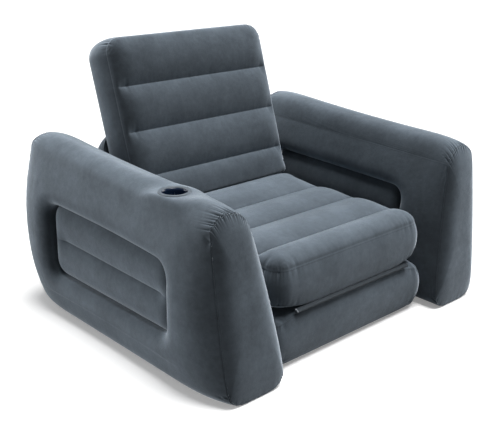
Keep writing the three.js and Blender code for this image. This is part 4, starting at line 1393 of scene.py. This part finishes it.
class CHAIR_OT_hinge_strips(bpy.types.Operator):
    """Builds the two welded strips that hinge the seat and the backrest"""

    bl_idname = "chair_bed.hinge_strips"
    bl_label = "Hinge Strips"

    def execute(self, context):
        settings = context.scene.chair_bed
        film = materials(settings)["Hinge Strip Film"]
        fit = settings.fitting
        half, thick = fit.web_half_length, fit.web_thickness
        seat, base, back = CUSHIONS["seat"], CUSHIONS["base"], CUSHIONS["backrest"]
        t = np.linspace(0, 1, 13)
        low = np.array([FOLD.y + base["start"] - STRIP_STAND_OFF, base["top"][0]])
        high = np.array([FOLD.y + seat["start"] - STRIP_STAND_OFF, seat["bottom"][0]])
        front = low + (high - low) * t[:, None]
        front[:, 0] -= STRIP_BULGE * bulge(t, 2)
        strip = folded_strip("front_hinge_strip", front, half, thick)
        strip.data.materials.append(film)
        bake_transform(strip)
        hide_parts("front_hinge_web_lower", "front_hinge_web_upper")
        seam = np.array([FOLD.y + seat["end"] + 0.0006, seat["top"][0]])
        other = back_place(np.array([[0, back["start"] - 0.0006, back["top"][0]]]))[0, 1:]
        fold = np.array([BACK_FOLD.y, BACK_FOLD.z])
        rear = np.concatenate([seam + (fold - seam) * t[:, None],
                               (fold + (other - fold) * t[:, None])[1:]])
        strip = folded_strip("rear_hinge_strip", rear, half, thick)
        strip.data.materials.append(film)
        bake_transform(strip)
        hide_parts("rear_hinge_web_lower", "rear_hinge_web_upper")
        for body, index in (("frame", 2), ("seat", 10)):
            y, z = front[index]
            line = [(x, y - 0.0005, z) for x in (-half + 0.004, 0, half - 0.004)]
            bead = weld_beads(f"front_hinge_weld_{body}", [line], 0.0008, film)
            finished(bead, body)
        return {"FINISHED"}


CUP_WALL = 0.0019
# The welded ring's section: offset from the cup's radius, and height over its rim at this rise
RING_PROFILE_RISE = 0.003
RING_PROFILE = (
    (-0.0006, -0.006), (-0.0004, 0.0012), (0.0008, 0.0032), (0.0026, 0.0036),
    (0.0040, 0.0028), (0.0062, 0.0026), (0.0078, 0.0024), (0.0090, 0.0014),
    (0.0094, -0.0006), (0.0050, -0.0030), (0.0012, -0.0060),
)


class CHAIR_OT_cup_holder(bpy.types.Operator):
    """Builds the cup and its welded ring in the top of the left arm"""

    bl_idname = "chair_bed.cup_holder"
    bl_label = "Cup Holder"

    def execute(self, context):
        settings = context.scene.chair_bed
        fit = settings.fitting
        paint = materials(settings)
        steps = 96
        angles = np.linspace(0, 2 * math.pi, steps, endpoint=False)
        cos, sin = np.cos(angles), np.sin(angles)

        rim = cup_level(settings)

        def rows_to_mesh(name, rows):
            points = np.concatenate([
                np.column_stack([fit.cup_x + r * cos, fit.cup_y + FOLD.y + r * sin,
                                 np.broadcast_to(z, steps)]) for r, z in rows])
            number = np.arange(len(points)).reshape(len(rows), steps)
            return mesh_object(name, points, strip_quads(wrapped(wrapped(number, 1), 0)))

        r, wall = fit.cup_radius, CUP_WALL
        floor = fit.cup_floor
        inside = [(r - 0.0004, rim + 0.0004), (r - 0.0008, rim - 0.006)]
        inside += [(r - 0.0008, floor + (rim - floor) * s) for s in (0.75, 0.5, 0.25, 0.10)]
        inside += [(r - 0.002, floor + 0.003), (r - 0.006, floor + 0.0006), (r * 0.6, floor),
                   (r * 0.56, floor - 0.0006), (r * 0.2, floor - 0.0006), (1e-4, floor)]
        outside = [(1e-4, floor - wall), (r - 0.004, floor - wall), (r + 0.0008, floor + 0.001)]
        outside += [(r + wall * 0.9, floor + (rim - floor) * s) for s in (0.1, 0.5, 0.9)]
        outside += [(r + wall * 0.9, rim + 0.0002)]
        bowl = rows_to_mesh("cup_bowl", inside + outside)
        finished(bowl, "frame", ["cup_holder_bowl"], paint["Cup Film"])
        rows = [(r + offset, rim + lift * fit.ring_rise / RING_PROFILE_RISE)
                for offset, lift in RING_PROFILE]
        ring = rows_to_mesh("cup_ring", rows)
        finished(ring, "frame", ["cup_holder_ring"], paint["Ring Film"])
        paths = []
        for offset in (0.0040, 0.0082):
            paths.append(np.column_stack([fit.cup_x + (r + offset) * cos,
                                          fit.cup_y + FOLD.y + (r + offset) * sin,
                                          np.full(steps, rim + 0.0026)]).tolist())
        beads = weld_beads("cup_ring_welds", paths, 0.0005, paint["Ring Film"], cyclic=True)
        finished(beads, "frame")
        return {"FINISHED"}


class CHAIR_OT_carried_parts(bpy.types.Operator):
    """Gives the CAD parts that stay in view or inside their finishes"""

    bl_idname = "chair_bed.carried_parts"
    bl_label = "Valves and Beams"

    def execute(self, context):
        paint = materials(context.scene.chair_bed)
        for name, node in frame["nodes"].items():
            if node.hide_render:
                continue
            if "_beam" in name:
                material = paint["Beam Film"]
            elif name.endswith("_flap"):
                material = paint["Flap Rubber"]
            elif "_valve_" in name:
                material = paint["Valve Plastic"]
            else:
                raise RuntimeError(f"{name} has no finish")
            node.data.materials.clear()
            node.data.materials.append(material)
        return {"FINISHED"}


# Suns: the way that the light goes, its strength and its angle in degrees
LIGHTS = (
    ("Key", (-0.08, 0.20, -1.0), 3.9, 34),
    ("Left", (1.0, -0.95, -0.10), 2.35, 36),
    ("Right", (-0.97, 0.25, -0.15), 1.6, 40),
    ("Back", (0.0, -1.0, -0.10), 0.6, 50),
)
WORLD_LIGHT = 0.10
# The floor is paler where it is seen than where it lights the chair
FLOOR_LIT, FLOOR_SEEN, FLOOR_GLOW = 0.14, 0.90, 0.24
# The photo's camera, fitted in the row frame; its focal length is in pixels of the picture
CAMERA_PLACE = (-1.769, -1.9205, 1.199)
CAMERA_YAW, CAMERA_PITCH = 42.37, 19.38
CAMERA_FOCAL, PICTURE_WIDTH, SENSOR_WIDTH = 826, 500, 36


class CHAIR_OT_stage(bpy.types.Operator):
    """Builds the pale floor, the soft lights and the camera"""

    bl_idname = "chair_bed.stage"
    bl_label = "Stage"

    def execute(self, context):
        scene = context.scene
        floor = mesh_object("floor", [(-40, -40, 0), (40, -40, 0), (40, 40, 0), (-40, 40, 0)],
                            [(0, 1, 2, 3)])
        floor.location.z = -0.0004
        shader = Shader("Studio Floor", (0.45, 0.45, 0.45), 0.9)
        glow = shader.nodes.new("ShaderNodeEmission")
        glow.inputs["Color"].default_value = (1, 1, 1, 1)
        rays = shader.nodes.new("ShaderNodeLightPath")
        seen = shader.maths("MAXIMUM", rays.outputs["Is Camera Ray"],
                            shader.maths("MAXIMUM", rays.outputs["Is Glossy Ray"],
                                         rays.outputs["Is Transmission Ray"]))
        shader.links.new(shader.maths("MULTIPLY", seen, FLOOR_GLOW), glow.inputs["Strength"])
        shader.shade((1.0, 1.0, 1.0), shader.range(seen, 0.0, 1.0, FLOOR_LIT, FLOOR_SEEN))
        both = shader.nodes.new("ShaderNodeAddShader")
        shader.links.new(shader.surface.outputs[0], both.inputs[0])
        shader.links.new(glow.outputs[0], both.inputs[1])
        shader.links.new(both.outputs[0], shader.nodes["Material Output"].inputs["Surface"])
        floor.data.materials.append(shader.material)

        world = bpy.data.worlds.new("Studio")
        scene.world = world
        world.use_nodes = True
        nodes, links = world.node_tree.nodes, world.node_tree.links
        back = nodes["Background"]
        back.inputs["Color"].default_value = (1, 1, 1, 1)
        rays = nodes.new("ShaderNodeLightPath")
        level = nodes.new("ShaderNodeMapRange")
        level.inputs["To Min"].default_value = WORLD_LIGHT
        level.inputs["To Max"].default_value = 1.0
        links.new(rays.outputs["Is Camera Ray"], level.inputs["Value"])
        links.new(level.outputs[0], back.inputs["Strength"])

        for name, towards, strength, angle in LIGHTS:
            lamp = bpy.data.lights.new(name, "SUN")
            lamp.energy = strength
            lamp.angle = math.radians(angle)
            obj = linked(name, lamp)
            obj.rotation_mode = "QUATERNION"
            obj.rotation_quaternion = Vector(towards).to_track_quat("-Z", "Y")

        camera = linked("Camera", bpy.data.cameras.new("Camera"))
        camera.data.sensor_width = SENSOR_WIDTH
        camera.data.lens = SENSOR_WIDTH * CAMERA_FOCAL / PICTURE_WIDTH
        camera.data.clip_end = 200
        camera.location = CAMERA_PLACE
        yaw, pitch = math.radians(CAMERA_YAW), math.radians(CAMERA_PITCH)
        aim = Vector((math.sin(yaw) * math.cos(pitch), math.cos(yaw) * math.cos(pitch),
                      -math.sin(pitch)))
        camera.rotation_mode = "QUATERNION"
        camera.rotation_quaternion = aim.to_track_quat("-Z", "Y")
        scene.camera = camera
        scene.view_settings.view_transform = "Standard"
        return {"FINISHED"}


OPERATORS = (CHAIR_OT_arms, CHAIR_OT_cushions, CHAIR_OT_bolster, CHAIR_OT_hinge_strips,
             CHAIR_OT_cup_holder, CHAIR_OT_carried_parts, CHAIR_OT_stage)


class CHAIR_PT_build(bpy.types.Panel):
    """Lists the steps that build the chair bed"""

    bl_idname = "CHAIR_PT_build"
    bl_label = "Inflatable Chair Bed"
    bl_space_type = "VIEW_3D"
    bl_region_type = "UI"
    bl_category = "Chair Bed"

    def draw(self, context):
        settings = context.scene.chair_bed
        for group in (settings.arm, settings.recess, settings.cushion, settings.fitting,
                      settings.finish):
            box = self.layout.box()
            for key in group.__annotations__:
                box.prop(group, key)
        for operator in OPERATORS:
            self.layout.operator(operator.bl_idname)


CLASSES = (ArmSizes, RecessSizes, CushionSizes, FittingSizes, Finishes, ChairBedSettings,
           *OPERATORS, CHAIR_PT_build)


def register():
    for cls in CLASSES:
        bpy.utils.register_class(cls)
    bpy.types.Scene.chair_bed = bpy.props.PointerProperty(type=ChairBedSettings)


def unregister():
    del bpy.types.Scene.chair_bed
    for cls in reversed(CLASSES):
        bpy.utils.unregister_class(cls)


def main():
    register()
    for operator in OPERATORS:
        group, name = operator.bl_idname.split(".")
        getattr(getattr(bpy.ops, group), name)()


if __name__ == "__main__":
    main()
